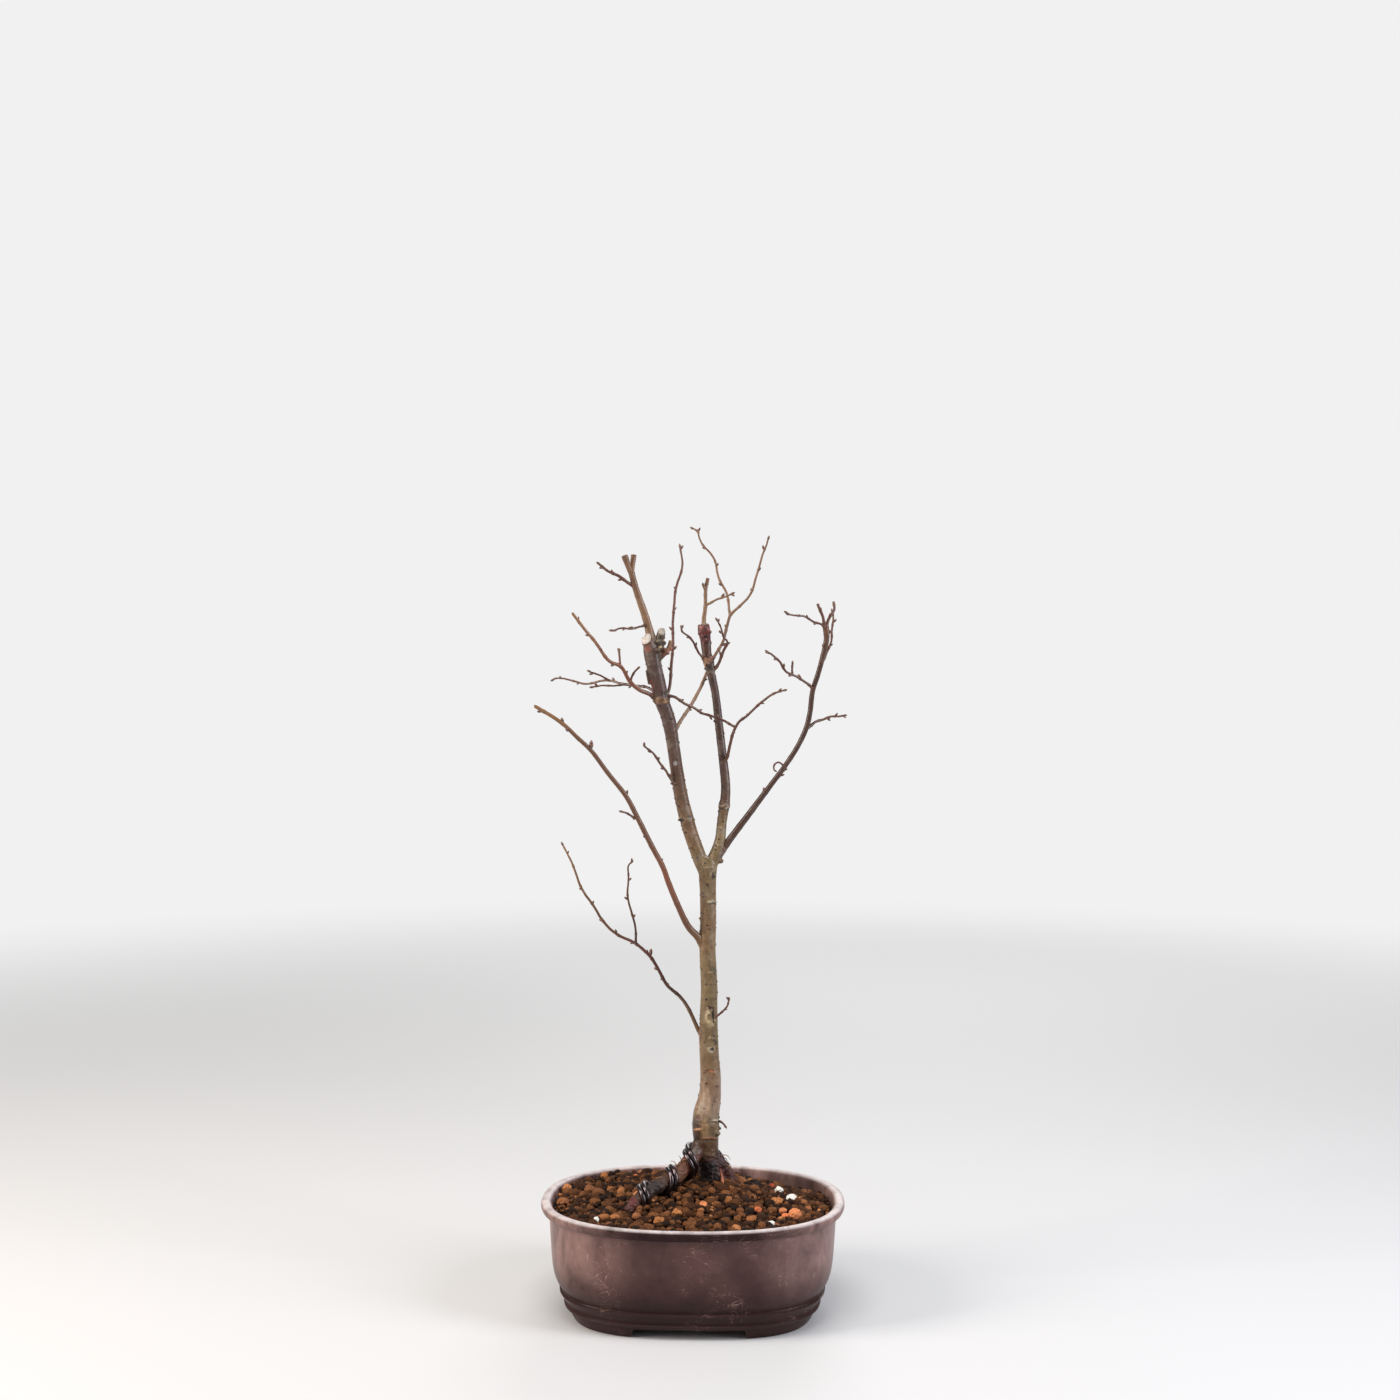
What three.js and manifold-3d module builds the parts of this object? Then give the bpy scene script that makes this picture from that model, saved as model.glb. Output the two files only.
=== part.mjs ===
// A young Japanese zelkova bonsai, bare in winter, in an oval moulded training pot.
// Millimetres, +Z up. The origin is on the table under the middle of the pot, +X to the right and
// +Y to the back as the tree is seen from its front.
import * as THREE from "three";
import { mergeVertices } from "three/addons/utils/BufferGeometryUtils.js";
import Module from "manifold-3d";

const wasm = await Module();
wasm.setup();

// Pot sizes
const POT_HEIGHT = 75;
const RIM_HALF_WIDTH = 105;
const RIM_HALF_DEPTH = 79;
const FOOT_HALF_WIDTH = 84;
const FOOT_HALF_DEPTH = 65;
const RIM_ROUNDNESS = 2.5; // exponent of the oval at the rim: 2 is an ellipse, more is squarer
const FOOT_ROUNDNESS = 3;
const FLOOR_TOP = 10;
const FLOOR_UNDERSIDE = 7;
const POT_SEGMENTS = 44;
const GAP_HEIGHT = 6.3; // the cut-outs that leave four feet
const FRONT_GAP_HALF = 36.5;
const END_GAP_HALF = 22;
const GAP_SLANT = 2.5;
const DRAIN_RADIUS = 9;
const DRAIN_X = 42;
const MESH_SIDE = 26;
const MESH_THICK = 1;
const MESH_BARS = 3; // spaces between the bars of a drain mesh, each way
const MESH_BAR_WIDTH = 1.6;

// Soil sizes
const CLEARANCE = 0.3;
const WALL_GAP = 0.8; // between the soil and the pot's wall
const MOUND_TOP = 81;
const SOIL_EDGE = 69.3;
const GRANULE_PITCH = 9.4;
const GRANULE_RISE = 1.9;
const GRANULE_DIP = 1.1;
const PUMICE_RADIUS = 3.6;

// Wire sizes
const WIRE_RADIUS = 1.5;
const WIRE_SPACING = 3.7; // centre to centre of the two strands

// The front from which the tree was styled: an eye this far from the pot's middle and this high,
// a little to the right of the pot's own axis.
const EYE_DISTANCE = 1141;
const EYE_HEIGHT = 420;
const EYE_ACROSS = 4.9;
const FRONT_TURN = THREE.MathUtils.degToRad(2.1);

// Colours
const POT_PLASTIC = new THREE.MeshStandardMaterial({ color: "#6f5b5a", roughness: 0.45, metalness: 0 });
const SOIL_GRAIN = new THREE.MeshStandardMaterial({ color: "#5a4030", roughness: 0.95, metalness: 0 });
const BARK = new THREE.MeshStandardMaterial({ color: "#84705a", roughness: 0.8, metalness: 0 });
const DARK_WIRE = new THREE.MeshStandardMaterial({ color: "#2e2426", roughness: 0.3, metalness: 0.6 });
const MESH_PLASTIC = new THREE.MeshStandardMaterial({ color: "#2b2b2b", roughness: 0.6, metalness: 0 });

// Joining and cutting

function solidOf(geometry) {
  const bare = geometry.clone();
  bare.deleteAttribute("normal");
  bare.deleteAttribute("uv");
  const merged = mergeVertices(bare, 1e-4);
  const solid = new wasm.Manifold(new wasm.Mesh({
    numProp: 3,
    vertProperties: new Float32Array(merged.getAttribute("position").array),
    triVerts: new Uint32Array(merged.index.array),
  }));
  return solid;
}

function largestBody(solid) {
  return solid.decompose().reduce((best, body) => (body.volume() > best.volume() ? body : best));
}

function meshOf(name, solid, material) {
  const { vertProperties, triVerts } = solid.getMesh();
  const geometry = new THREE.BufferGeometry();
  geometry.setAttribute("position", new THREE.BufferAttribute(vertProperties, 3));
  geometry.setIndex(new THREE.BufferAttribute(triVerts, 1));
  geometry.computeVertexNormals();
  const mesh = new THREE.Mesh(geometry, material);
  mesh.name = name;
  return mesh;
}

function seededDraw(seed) {
  let state = seed;
  return () => {
    state = (state + 0x6d2b79f5) | 0;
    let mixed = Math.imul(state ^ (state >>> 15), 1 | state);
    mixed = (mixed + Math.imul(mixed ^ (mixed >>> 7), 61 | mixed)) ^ mixed;
    return ((mixed ^ (mixed >>> 14)) >>> 0) / 4294967296;
  };
}

// The oval of the pot: a lathe profile of half widths and heights, squeezed into an oval that is
// squarer and a little deeper towards the foot.

function ovalPoint(halfWidth, angle, height) {
  const climb = height / POT_HEIGHT;
  const power = 2 / THREE.MathUtils.lerp(FOOT_ROUNDNESS, RIM_ROUNDNESS, climb);
  const depthShare = THREE.MathUtils.lerp(
    FOOT_HALF_DEPTH / FOOT_HALF_WIDTH, RIM_HALF_DEPTH / RIM_HALF_WIDTH, climb);
  const across = Math.cos(angle);
  const back = Math.sin(angle);
  return new THREE.Vector3(
    halfWidth * Math.sign(across) * Math.abs(across) ** power,
    halfWidth * depthShare * Math.sign(back) * Math.abs(back) ** power,
    height);
}

function ovalSolid(profile) {
  const points = profile.map(([halfWidth, height]) => new THREE.Vector2(halfWidth, height));
  const geometry = new THREE.LatheGeometry(points.reverse(), POT_SEGMENTS);
  geometry.rotateX(Math.PI / 2);
  const position = geometry.getAttribute("position");
  const corner = new THREE.Vector3();
  for (let i = 0; i < position.count; i += 1) {
    corner.fromBufferAttribute(position, i);
    const step = Math.round((Math.atan2(corner.y, corner.x) / Math.PI) * (POT_SEGMENTS / 2));
    const angle = (step * 2 * Math.PI) / POT_SEGMENTS;
    const placed = ovalPoint(Math.hypot(corner.x, corner.y), angle, corner.z);
    position.setXYZ(i, placed.x, placed.y, placed.z);
  }
  return solidOf(geometry);
}

const INNER_WALL = [[80, FLOOR_TOP], [89, 15], [94, 25], [95.9, 36], [96.8, 66]];
const OUTER_WALL = [
  [97.8, 73.6], [99.4, POT_HEIGHT], [103.2, POT_HEIGHT], [104.8, 73.6], [RIM_HALF_WIDTH, 71.2],
  [103.8, 69], [99.7, 68.4], [99.3, 48], [98.6, 34], [97, 25], [93.4, 17.4], [94.5, 16.5], [91.9, 10.5],
  [90.7, 10.1], [91.3, 9.3], [89.3, 7.4], [FOOT_HALF_WIDTH, 0],
];
const UNDERSIDE = [[79, 0], [80, FLOOR_UNDERSIDE]];

function footGap(halfWidth, length) {
  const outline = new THREE.Shape([
    new THREE.Vector2(-halfWidth - GAP_SLANT, -1),
    new THREE.Vector2(halfWidth + GAP_SLANT, -1),
    new THREE.Vector2(halfWidth, GAP_HEIGHT),
    new THREE.Vector2(-halfWidth, GAP_HEIGHT),
  ]);
  const gap = new THREE.ExtrudeGeometry(outline, { depth: length, bevelEnabled: false });
  gap.translate(0, 0, -length / 2);
  return gap.rotateX(Math.PI / 2);
}

function drainHole(x) {
  const hole = new THREE.CylinderGeometry(DRAIN_RADIUS, DRAIN_RADIUS, 2 * FLOOR_TOP, 24);
  return hole.rotateX(Math.PI / 2).translate(x, 0, FLOOR_TOP);
}

function pot() {
  const body = ovalSolid([[0, FLOOR_TOP], ...INNER_WALL, ...OUTER_WALL, ...UNDERSIDE, [0, FLOOR_UNDERSIDE]]);
  const cuts = [
    footGap(FRONT_GAP_HALF, 3 * RIM_HALF_DEPTH),
    footGap(END_GAP_HALF, 3 * RIM_HALF_WIDTH).rotateZ(Math.PI / 2),
    drainHole(-DRAIN_X),
    drainHole(DRAIN_X),
  ].map(solidOf);
  return body.subtract(wasm.Manifold.union(cuts));
}

// The plastic mesh over a drainage hole, under the soil: crossing bars in a square.
function drainMesh(x) {
  const bars = [];
  for (let i = 0; i <= MESH_BARS; i += 1) {
    const place = (i / MESH_BARS - 0.5) * (MESH_SIDE - MESH_BAR_WIDTH);
    bars.push(new THREE.BoxGeometry(MESH_BAR_WIDTH, MESH_SIDE, MESH_THICK).translate(place, 0, 0));
    bars.push(new THREE.BoxGeometry(MESH_SIDE, MESH_BAR_WIDTH, MESH_THICK).translate(0, place, 0));
  }
  const height = FLOOR_TOP + CLEARANCE + MESH_THICK / 2;
  return wasm.Manifold.union(bars.map((bar) => solidOf(bar.translate(x, 0, height))));
}

function drainMeshRoom(x) {
  const side = MESH_SIDE + 2 * CLEARANCE;
  const height = 2 * (MESH_THICK + 2 * CLEARANCE);
  return solidOf(new THREE.BoxGeometry(side, side, height).translate(x, 0, FLOOR_TOP));
}

// A point of the tree. Across and up are as seen from the front, on the plane through the middle of
// the pot; depth moves it back along the line of sight, so the front view keeps its outline.
function placed([across, up, depth]) {
  const reach = (EYE_DISTANCE + depth) / EYE_DISTANCE;
  const point = new THREE.Vector3(
    EYE_ACROSS + (across - EYE_ACROSS) * reach,
    depth,
    EYE_HEIGHT + (up - EYE_HEIGHT) * reach);
  return point.applyAxisAngle(new THREE.Vector3(0, 0, 1), FRONT_TURN);
}

// A smooth line through points, with a normal that turns no more than the line does.
class Line {
  constructor(points) {
    this.curve = new THREE.CatmullRomCurve3(points, false, "centripetal");
    this.spans = points.length - 1;
  }

  frames(steps) {
    const list = [];
    let normal = new THREE.Vector3(0, -1, 0);
    for (let i = 0; i <= steps; i += 1) {
      const share = i / steps;
      const tangent = this.curve.getTangent(share);
      normal = normal.clone().addScaledVector(tangent, -normal.dot(tangent)).normalize();
      const side = new THREE.Vector3().crossVectors(normal, tangent);
      list.push({ share, point: this.curve.getPoint(share), tangent, normal, side });
    }
    return list;
  }
}

// A closed tube along a line: radiusAt gives its radius at a share of its length and an angle. Grow
// makes it that much thicker, also in the middle of its flats, and longer at both ends.
function tube(line, steps, sides, radiusAt, grow = 0) {
  const geometry = new THREE.CylinderGeometry(1, 1, 1, sides, steps);
  const position = geometry.getAttribute("position");
  const frames = line.frames(steps);
  frames[0].point.addScaledVector(frames[0].tangent, -grow);
  frames[steps].point.addScaledVector(frames[steps].tangent, grow);
  const thicker = grow / Math.cos(Math.PI / sides);
  const corner = new THREE.Vector3();
  for (let i = 0; i < position.count; i += 1) {
    corner.fromBufferAttribute(position, i);
    const frame = frames[Math.round((corner.y + 0.5) * steps)];
    const flat = Math.hypot(corner.x, corner.z);
    const angle = Math.atan2(corner.z, corner.x);
    const radius = flat > 0.5 ? radiusAt(frame.share, angle) + thicker : 0;
    const spot = frame.point.clone()
      .addScaledVector(frame.normal, radius * Math.cos(angle))
      .addScaledVector(frame.side, radius * Math.sin(angle));
    position.setXYZ(i, spot.x, spot.y, spot.z);
  }
  return solidOf(geometry);
}

// Each limb is a list of stations: across, up, depth and radius.
const TRUNK = [
  [15, 57, 22, 8], [15, 70, 22, 10], [14.8, 80, 22, 10.8], [14.2, 88, 22, 10], [12.4, 96, 21.5, 8.4],
  [10.8, 103, 21, 7.6], [9.6, 110, 21, 8.4], [9, 117.5, 20.5, 9.2], [9, 125, 20, 9.7], [9.4, 133, 20, 9.4],
  [11.2, 141, 20, 8.2], [12.2, 149, 20, 7.5], [12, 161, 20, 7.2], [11.2, 176, 20, 7], [10.9, 192, 20, 6.6],
  [11.2, 209, 20, 6.2], [11, 227, 19.5, 5.9], [10.1, 248, 19.5, 5.9], [10.6, 268, 19, 5.7],
  [10.4, 288, 18.5, 5.9], [10.2, 299, 18, 6.4], [10.2, 306, 18, 6.9], [10.6, 311, 18, 5.4],
];
const LEFT_LEADER = [
  [9, 299, 18, 4.6], [5.6, 307.5, 18, 5.2], [2.6, 316, 17.5, 5.2], [-1, 326, 17, 5.2], [-4.6, 338, 15.5, 5.3],
  [-8.6, 355, 13, 5.2], [-11.6, 373, 10, 4.7], [-13.6, 387, 8, 4.7], [-15.8, 401, 6, 4.9], [-18.4, 411, 4.5, 5.1],
  [-21, 417.5, 4, 5.5], [-24, 431, 2, 5.6], [-27, 444, 0.5, 5.9], [-28.6, 453, 0, 6], [-29.4, 460, -0.5, 5.4],
  [-29.8, 464, -0.5, 3.6],
];
const MIDDLE_LEADER = [
  [11.5, 303, 18, 4.4], [14.6, 310, 18, 4.6], [17.6, 318, 18.5, 4.3], [19.2, 325, 19, 3.8], [20, 334, 20, 3.5],
  [21, 341, 21, 3.6], [21.7, 346.5, 21.5, 4.2], [22.4, 351, 22, 3.6], [22.8, 360, 22.5, 3.4], [21, 379, 24, 3.2],
  [18.4, 400, 26, 3.1], [15.6, 425, 28, 3], [12.4, 440, 29, 3.2], [11, 446.5, 29.5, 4.4], [9.8, 452, 30, 3.5],
  [8.7, 462, 30.5, 3.9], [7.8, 469, 31, 4.4], [7.4, 473, 31, 3.2],
];
const RIGHT_BRANCH = [
  [15, 308, 18, 3], [21, 316, 18.5, 2.9], [27, 325, 18.5, 2.6], [37, 338, 18, 2.5], [46, 350, 17, 2.2],
  [55, 362, 16, 2], [64, 374, 14, 1.8], [73, 388, 12, 1.8], [79, 401, 10, 2], [81.5, 412, 8.5, 1.9],
  [83.2, 426, 7, 1.7], [87, 438, 6, 1.6], [91, 453, 5, 1.6], [93, 463, 4, 1.5], [92.4, 471, 3.4, 1.5],
];
const LEFT_BRANCH = [
  [9, 246, 19.5, 3], [4, 254.5, 17, 2.8], [-3, 262, 13.5, 2.5], [-10, 276, 9, 2.3], [-17, 293, 4.5, 2.2],
  [-21, 304, 2, 2.1], [-29, 319, -1.5, 2], [-38, 337, -5.5, 1.9], [-46.5, 353, -9, 1.8], [-59, 369, -12, 1.7],
  [-71, 385, -14.5, 1.7], [-80.5, 394, -16.5, 1.6], [-90, 403, -18.5, 1.5], [-110, 416, -21, 1.35],
];
const LOWER_BRANCH = [
  [8.5, 182, 20, 1.8], [4, 190, 22.5, 1.5], [-3, 205, 27, 1.4], [-9, 213.5, 30, 1.35], [-18, 222, 33, 1.3],
  [-24, 232, 35.5, 1.2], [-30, 242, 38, 1.3], [-39, 250, 41, 1.2], [-52, 256.5, 44.5, 1.1], [-64, 268, 48, 1],
  [-70, 278, 50, 1], [-79, 292, 52, 0.9], [-85, 309, 53.5, 0.8], [-91.5, 320.5, 54.5, 0.6],
];
const WIRED_ROOT = [
  [7.5, 112, 20, 5.6], [3, 107, 17, 5.4], [-0.5, 101.5, 13, 5.4], [-6.5, 94, 8, 5.3], [-14, 87.5, 2, 5.2],
  [-23.5, 82.3, -5, 5], [-33.5, 75.5, -12, 5], [-41, 69, -18, 4.6], [-46, 63, -22, 3.4],
];
const RIGHT_ROOT = [
  [12, 106, 21, 4.4], [17, 100, 21.5, 4.8], [22, 93.4, 21, 4.4], [26, 87, 20, 3.9], [30, 79, 19, 3.4],
  [33.6, 70, 18, 2.6],
];
const BACK_ROOT = [
  [10, 100, 24, 4.4], [6, 94, 32, 4.4], [2.6, 88, 38.5, 4.2], [-1, 82, 44, 3.6], [-4, 75, 49, 2.8],
];
const THIN_ROOT = [[18.6, 95, 18, 0.9], [20, 89, 13.4, 0.9], [20.8, 84, 10, 0.9], [21, 80, 8, 0.8], [22.2, 73, 6, 0.7]];

// Lesser branches and twigs, thick to thin as they leave their limb.
const TWIGS = {
  leftShoot: [[-28, 458, -0.5, 3.3], [-31, 471, -1, 3], [-34, 481, -2, 2.7], [-37.2, 490, -4, 2.4],
    [-40.2, 499, -6, 2.1], [-43, 510, -8, 2]],
  leftShootOuterEnd: [[-42.5, 507, -7.5, 1.7], [-45.4, 514, -10, 1.6], [-47.6, 520, -12, 1.7]],
  leftShootInnerEnd: [[-43, 508, -8, 1.6], [-41.8, 514, -7, 1.5], [-41.2, 520.5, -6, 1.6]],
  leftShootSide: [[-39.5, 498, -5, 1.3], [-50, 505, -10, 1.2], [-59, 510, -13, 1], [-66.8, 515.3, -16, 0.9]],
  leftShootLower: [[-32.6, 472.5, -1.5, 0.9], [-36.5, 470.8, -6, 0.8], [-42, 469.8, -11, 0.75],
    [-49.4, 469.8, -15, 0.7], [-55, 468.2, -18, 0.65]],
  cutStub: [[-26, 448, 0, 3.4], [-24.6, 458, -0.6, 3.3], [-22.6, 464, -1, 3], [-21.9, 468.6, -1.2, 2.6]],
  paleStub: [[-28, 452, -1, 4], [-30.6, 458.5, -3, 3.8], [-33.2, 462.6, -4.6, 3.3]],
  knots: [[-24, 449, 1, 2.6], [-20.4, 453.6, 1.6, 2.6], [-17.2, 457, 2.6, 1.9], [-15.6, 461.5, 3.4, 1.2]],
  uprightTwig: [[-20, 419, 5, 1.3], [-17, 427, 7.4, 1.1], [-14.8, 444, 11, 1.05], [-13.8, 470, 17, 1],
    [-12.6, 493.5, 22, 0.95], [-7.7, 512, 26, 0.85], [-9, 528, 28, 0.7]],
  outerTwig: [[-23, 419, 3, 1.8], [-30, 424, 0, 1.6], [-37, 427, -4, 1.6], [-44, 433, -10, 1.5],
    [-50, 443, -17, 1.35], [-59, 448, -24, 1.3], [-70, 463, -32, 1.2], [-84, 480, -40, 1.1]],
  outerTwigSpur: [[-50.4, 442.6, -17, 0.8], [-51.3, 449, -15.6, 0.75], [-51.3, 455.4, -14, 0.75]],
  outerTwigFork: [[-43.6, 432.6, -10, 0.8], [-40.4, 440.2, -13, 0.7], [-37.4, 443, -15, 0.65]],
  backTwig: [[-25, 425, 4, 1.1], [-32, 429, 9, 1], [-40.4, 429.6, 14, 1], [-49, 431.5, 20, 0.9],
    [-58.2, 433.6, 26, 0.85], [-74, 431.4, 36, 0.8], [-82, 433, 40, 0.75], [-95.4, 435, 46, 0.65],
    [-98.6, 433.6, 47.5, 0.6]],
  backTwigUpper: [[-57.4, 433.4, 25.6, 0.75], [-64.4, 436.7, 25, 0.7], [-73, 440.6, 24, 0.6]],
  backTwigLower: [[-45.6, 430.6, 18, 0.75], [-59, 430, 17, 0.7], [-71.4, 429.2, 18, 0.6]],
  innerTwig: [[-8.4, 357, 11.5, 1], [-12, 361, 8.4, 0.95], [-20.2, 372.2, 4, 0.9], [-25.4, 380, -0.6, 0.9],
    [-34, 388.6, -7, 0.7]],
  crossingStem: [[-14, 396, 6.6, 1.5], [-9, 404.6, 12, 1.35], [-1.4, 416.6, 20, 1.25], [4.8, 427.2, 29, 1.2],
    [9.7, 439.6, 38, 1.2], [15, 450, 42, 1.15], [20.3, 459.8, 45, 1.1], [23, 468.6, 47.5, 1.1],
    [26.5, 480.4, 50, 1.1]],
  crossingLeft: [[26, 479, 49.6, 1], [23.8, 492.5, 52, 0.95], [18.4, 504, 54, 0.9], [15, 517.4, 56, 0.85],
    [6, 529.4, 57, 0.75], [3.5, 538.2, 58, 0.7]],
  crossingLeftTip: [[4.2, 535.6, 57.6, 0.65], [1.6, 538.6, 58.6, 0.6], [-1.2, 540.2, 59.4, 0.6]],
  crossingRight: [[26, 479, 50, 1], [33.6, 486.4, 48, 0.95], [40.7, 495.2, 45, 0.9], [45.2, 509.4, 43, 0.85],
    [47.8, 520, 42, 0.8], [51.4, 528, 41.5, 0.7], [53.1, 533.6, 41, 0.65]],
  frontTwig: [[-20, 423, 2.4, 1.2], [-14.4, 422.4, 1, 1.1], [-2.6, 416, 7, 1], [6.4, 411.2, 12.4, 0.9],
    [12, 409, 14, 0.8]],
  risingTwig: [[21, 376, 23, 1.3], [23.4, 379.4, 20.4, 1.2], [25.9, 388, 17, 1.1], [28.1, 398, 15, 1.05],
    [31.6, 404.6, 13.6, 1], [38.4, 409.4, 10, 0.95], [48, 419, 4.4, 0.9], [55.2, 424, 0, 0.85],
    [65, 426.8, -5, 0.7]],
  risingTwigBack: [[29.8, 401.2, 14.2, 0.9], [21.4, 405.4, 17.4, 0.85], [13, 409.2, 19, 0.8],
    [5, 410.6, 20, 0.8]],
  middleShoot: [[7.6, 466, 31, 2], [7.6, 476, 31.4, 1.8], [8.8, 486.5, 32, 1.6], [8.8, 497, 33, 1.45],
    [10.5, 504.6, 34, 1.35]],
  middleShootStub: [[8.8, 496.4, 33, 1], [7, 501, 31.6, 0.95]],
  middleShootTwig: [[9, 486.2, 31.6, 0.95], [18.4, 490.4, 27, 0.8], [24.6, 493, 24, 0.75], [28.6, 494.4, 22, 0.6]],
  kneeTwig: [[9.6, 449, 29, 1], [6.6, 450, 26, 0.9], [2.4, 456, 22.4, 0.85], [-3, 464.6, 18, 0.8],
    [-7.6, 467.8, 15.6, 0.7], [-8.6, 471.4, 14.6, 0.6]],
  hookTwig: [[13.2, 439, 29, 1.2], [16.4, 443, 28.4, 1.1], [19.6, 450, 27, 1.1], [22.6, 456.6, 26, 1.05],
    [23.8, 460.2, 25.6, 0.8], [21.4, 463.4, 24.6, 0.75], [20, 469.6, 22, 0.7], [15.8, 476.6, 19, 0.6]],
  rightLeftTwig: [[92.4, 469.6, 3.4, 0.95], [89.4, 472.2, -0.6, 0.9], [85, 474.2, -5, 0.8], [77, 478, -12, 0.75],
    [69, 479.4, -16, 0.7], [65.4, 479.6, -18, 0.6]],
  rightStub: [[92.2, 470, 3.4, 1.1], [90, 478, 1.6, 1.05], [87, 487.2, 0, 1.05]],
  rightEnd: [[92.3, 469.6, 3.4, 1.1], [95.8, 479, 5, 1], [98, 483, 6.4, 0.9], [98, 488.4, 8, 0.85]],
  rightPartner: [[90, 446.6, 5.6, 0.95], [93.4, 453, 8, 0.9], [96.4, 463, 10.6, 0.8], [97.1, 472, 12.6, 0.8],
    [97.5, 482, 14, 0.7]],
  rightInner: [[83.4, 427.6, 6.6, 1], [78.6, 432.4, 2.4, 0.95], [64.8, 440.2, -6, 0.9], [59.4, 447.4, -11, 0.85],
    [54.5, 452.2, -15, 0.75], [50.9, 453, -17, 0.65]],
  rightInnerSpur: [[69.2, 438.4, -4, 0.7], [69, 446.6, -5, 0.65]],
  rightOuter: [[78.4, 399.6, 10.4, 1.1], [86.3, 405, 17, 1], [94.2, 407.8, 25, 0.9], [102.2, 409, 33, 0.8],
    [106.7, 409, 38, 0.65]],
  curledTwig: [[64.4, 371.4, 14, 0.7], [60.6, 373.8, 11.4, 0.65], [57.4, 375.8, 9.6, 0.6], [56.4, 371.6, 8.4, 0.55]],
  leftBranchTwig: [[-40.4, 337.2, -6, 0.8], [-46.8, 341.8, -8, 0.7], [-50.8, 342.8, -10, 0.6]],
  lowerFork: [[-39.6, 250.4, 41, 0.9], [-39.8, 258.4, 38, 0.85], [-42.8, 273, 33, 0.8], [-45.6, 285.4, 30, 0.75],
    [-44.9, 297.6, 28, 0.7], [-44.7, 304.4, 27, 0.65], [-41.8, 307.8, 26, 0.6]],
  trunkTwig: [[14, 198, 17, 0.9], [17.4, 201, 14, 0.8], [23.7, 206.3, 10, 0.7], [24.8, 212.6, 8, 0.6]],
  footTwig: [[16.6, 127.6, 19, 0.8], [19.6, 126.4, 16.4, 0.7], [23, 122.4, 14.6, 0.6]],
};

function limb(stations, sides, stepsPerSpan, grow = 0, relief = 0) {
  const line = new Line(stations.map(placed));
  const radii = stations.map((station) => station[3]);
  const radiusAt = (share, angle) => {
    const along = share * line.spans;
    const from = Math.min(Math.floor(along), line.spans - 1);
    const plain = THREE.MathUtils.lerp(radii[from], radii[from + 1], along - from);
    const ribs = Math.sin(3 * angle + 1.7 * along) + 0.6 * Math.sin(5 * angle - 2.3 * along);
    return plain * (1 + relief * ribs);
  };
  return tube(line, stepsPerSpan * line.spans, sides, radiusAt, grow);
}

// A pointed oval bud that leans out from a twig, its foot sunk in the bark.
function bud(line, share, outward, length) {
  const tangent = line.curve.getTangent(share);
  const lean = tangent.clone().multiplyScalar(0.75).add(outward).normalize();
  const shape = new THREE.OctahedronGeometry(1, 0);
  shape.scale(length * 0.3, length * 0.5, length * 0.3);
  shape.applyQuaternion(new THREE.Quaternion().setFromUnitVectors(new THREE.Vector3(0, 1, 0), lean));
  const seat = line.curve.getPoint(share).addScaledVector(lean, length * 0.42);
  shape.translate(seat.x, seat.y, seat.z);
  return solidOf(shape);
}

// Buds stand in two rows along a twig, one side and then the other, with one at the tip.
function budsOn(stations, spacing, length, draw) {
  const line = new Line(stations.map(placed));
  const count = Math.floor(line.curve.getLength() / spacing);
  const frames = line.frames(20);
  const list = [];
  for (let i = 1; i <= count; i += 1) {
    const share = Math.min((i - 0.3 + 0.25 * draw()) / count, 0.97);
    const frame = frames[Math.round(share * 20)];
    const outward = frame.side.clone().multiplyScalar(i % 2 ? 1 : -1);
    outward.addScaledVector(frame.normal, 0.5 * (draw() - 0.5)).normalize();
    list.push(bud(line, share, outward, length * (0.85 + 0.4 * draw())));
  }
  return list;
}

// Knobs and healed scars: across, up, depth, radius.
const KNOBS = [
  [19.2, 308, 17, 2.4], [1.6, 112.6, 18, 3.2], [16.4, 137, 19, 1.4], [5.2, 268, 18, 1.3], [16, 250, 17, 1.2],
  [-14.8, 362, 10, 1.4], [-26.4, 418.6, 2.4, 2.2], [-17, 420, 5, 1.8], [-32.6, 440, -1, 1.8], [-22, 441, 2, 1.6],
  [24.4, 322, 19, 1.4], [25.6, 346.6, 21, 1], [6, 447, 28.6, 1.8], [15.4, 448, 29, 1.9], [4.6, 470.4, 30, 1.8],
  [11.4, 466, 29.6, 1.9], [15, 405.4, 25, 1.4], [14.6, 160, 14, 1.6], [5.6, 186, 18, 1.2],
];

function knob([across, up, depth, radius]) {
  const shape = new THREE.IcosahedronGeometry(radius, 0);
  const seat = placed([across, up, depth]);
  return solidOf(shape.translate(seat.x, seat.y, seat.z));
}

function buriedParts(grow) {
  return [
    limb(TRUNK.slice(0, 7), 14, 1, grow, 0.04),
    limb(WIRED_ROOT, 10, 2, grow, 0.03),
    limb(RIGHT_ROOT, 9, 1, grow, 0.03),
    limb(BACK_ROOT, 8, 1, grow, 0.03),
    limb(THIN_ROOT, 6, 1, grow),
  ];
}

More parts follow.
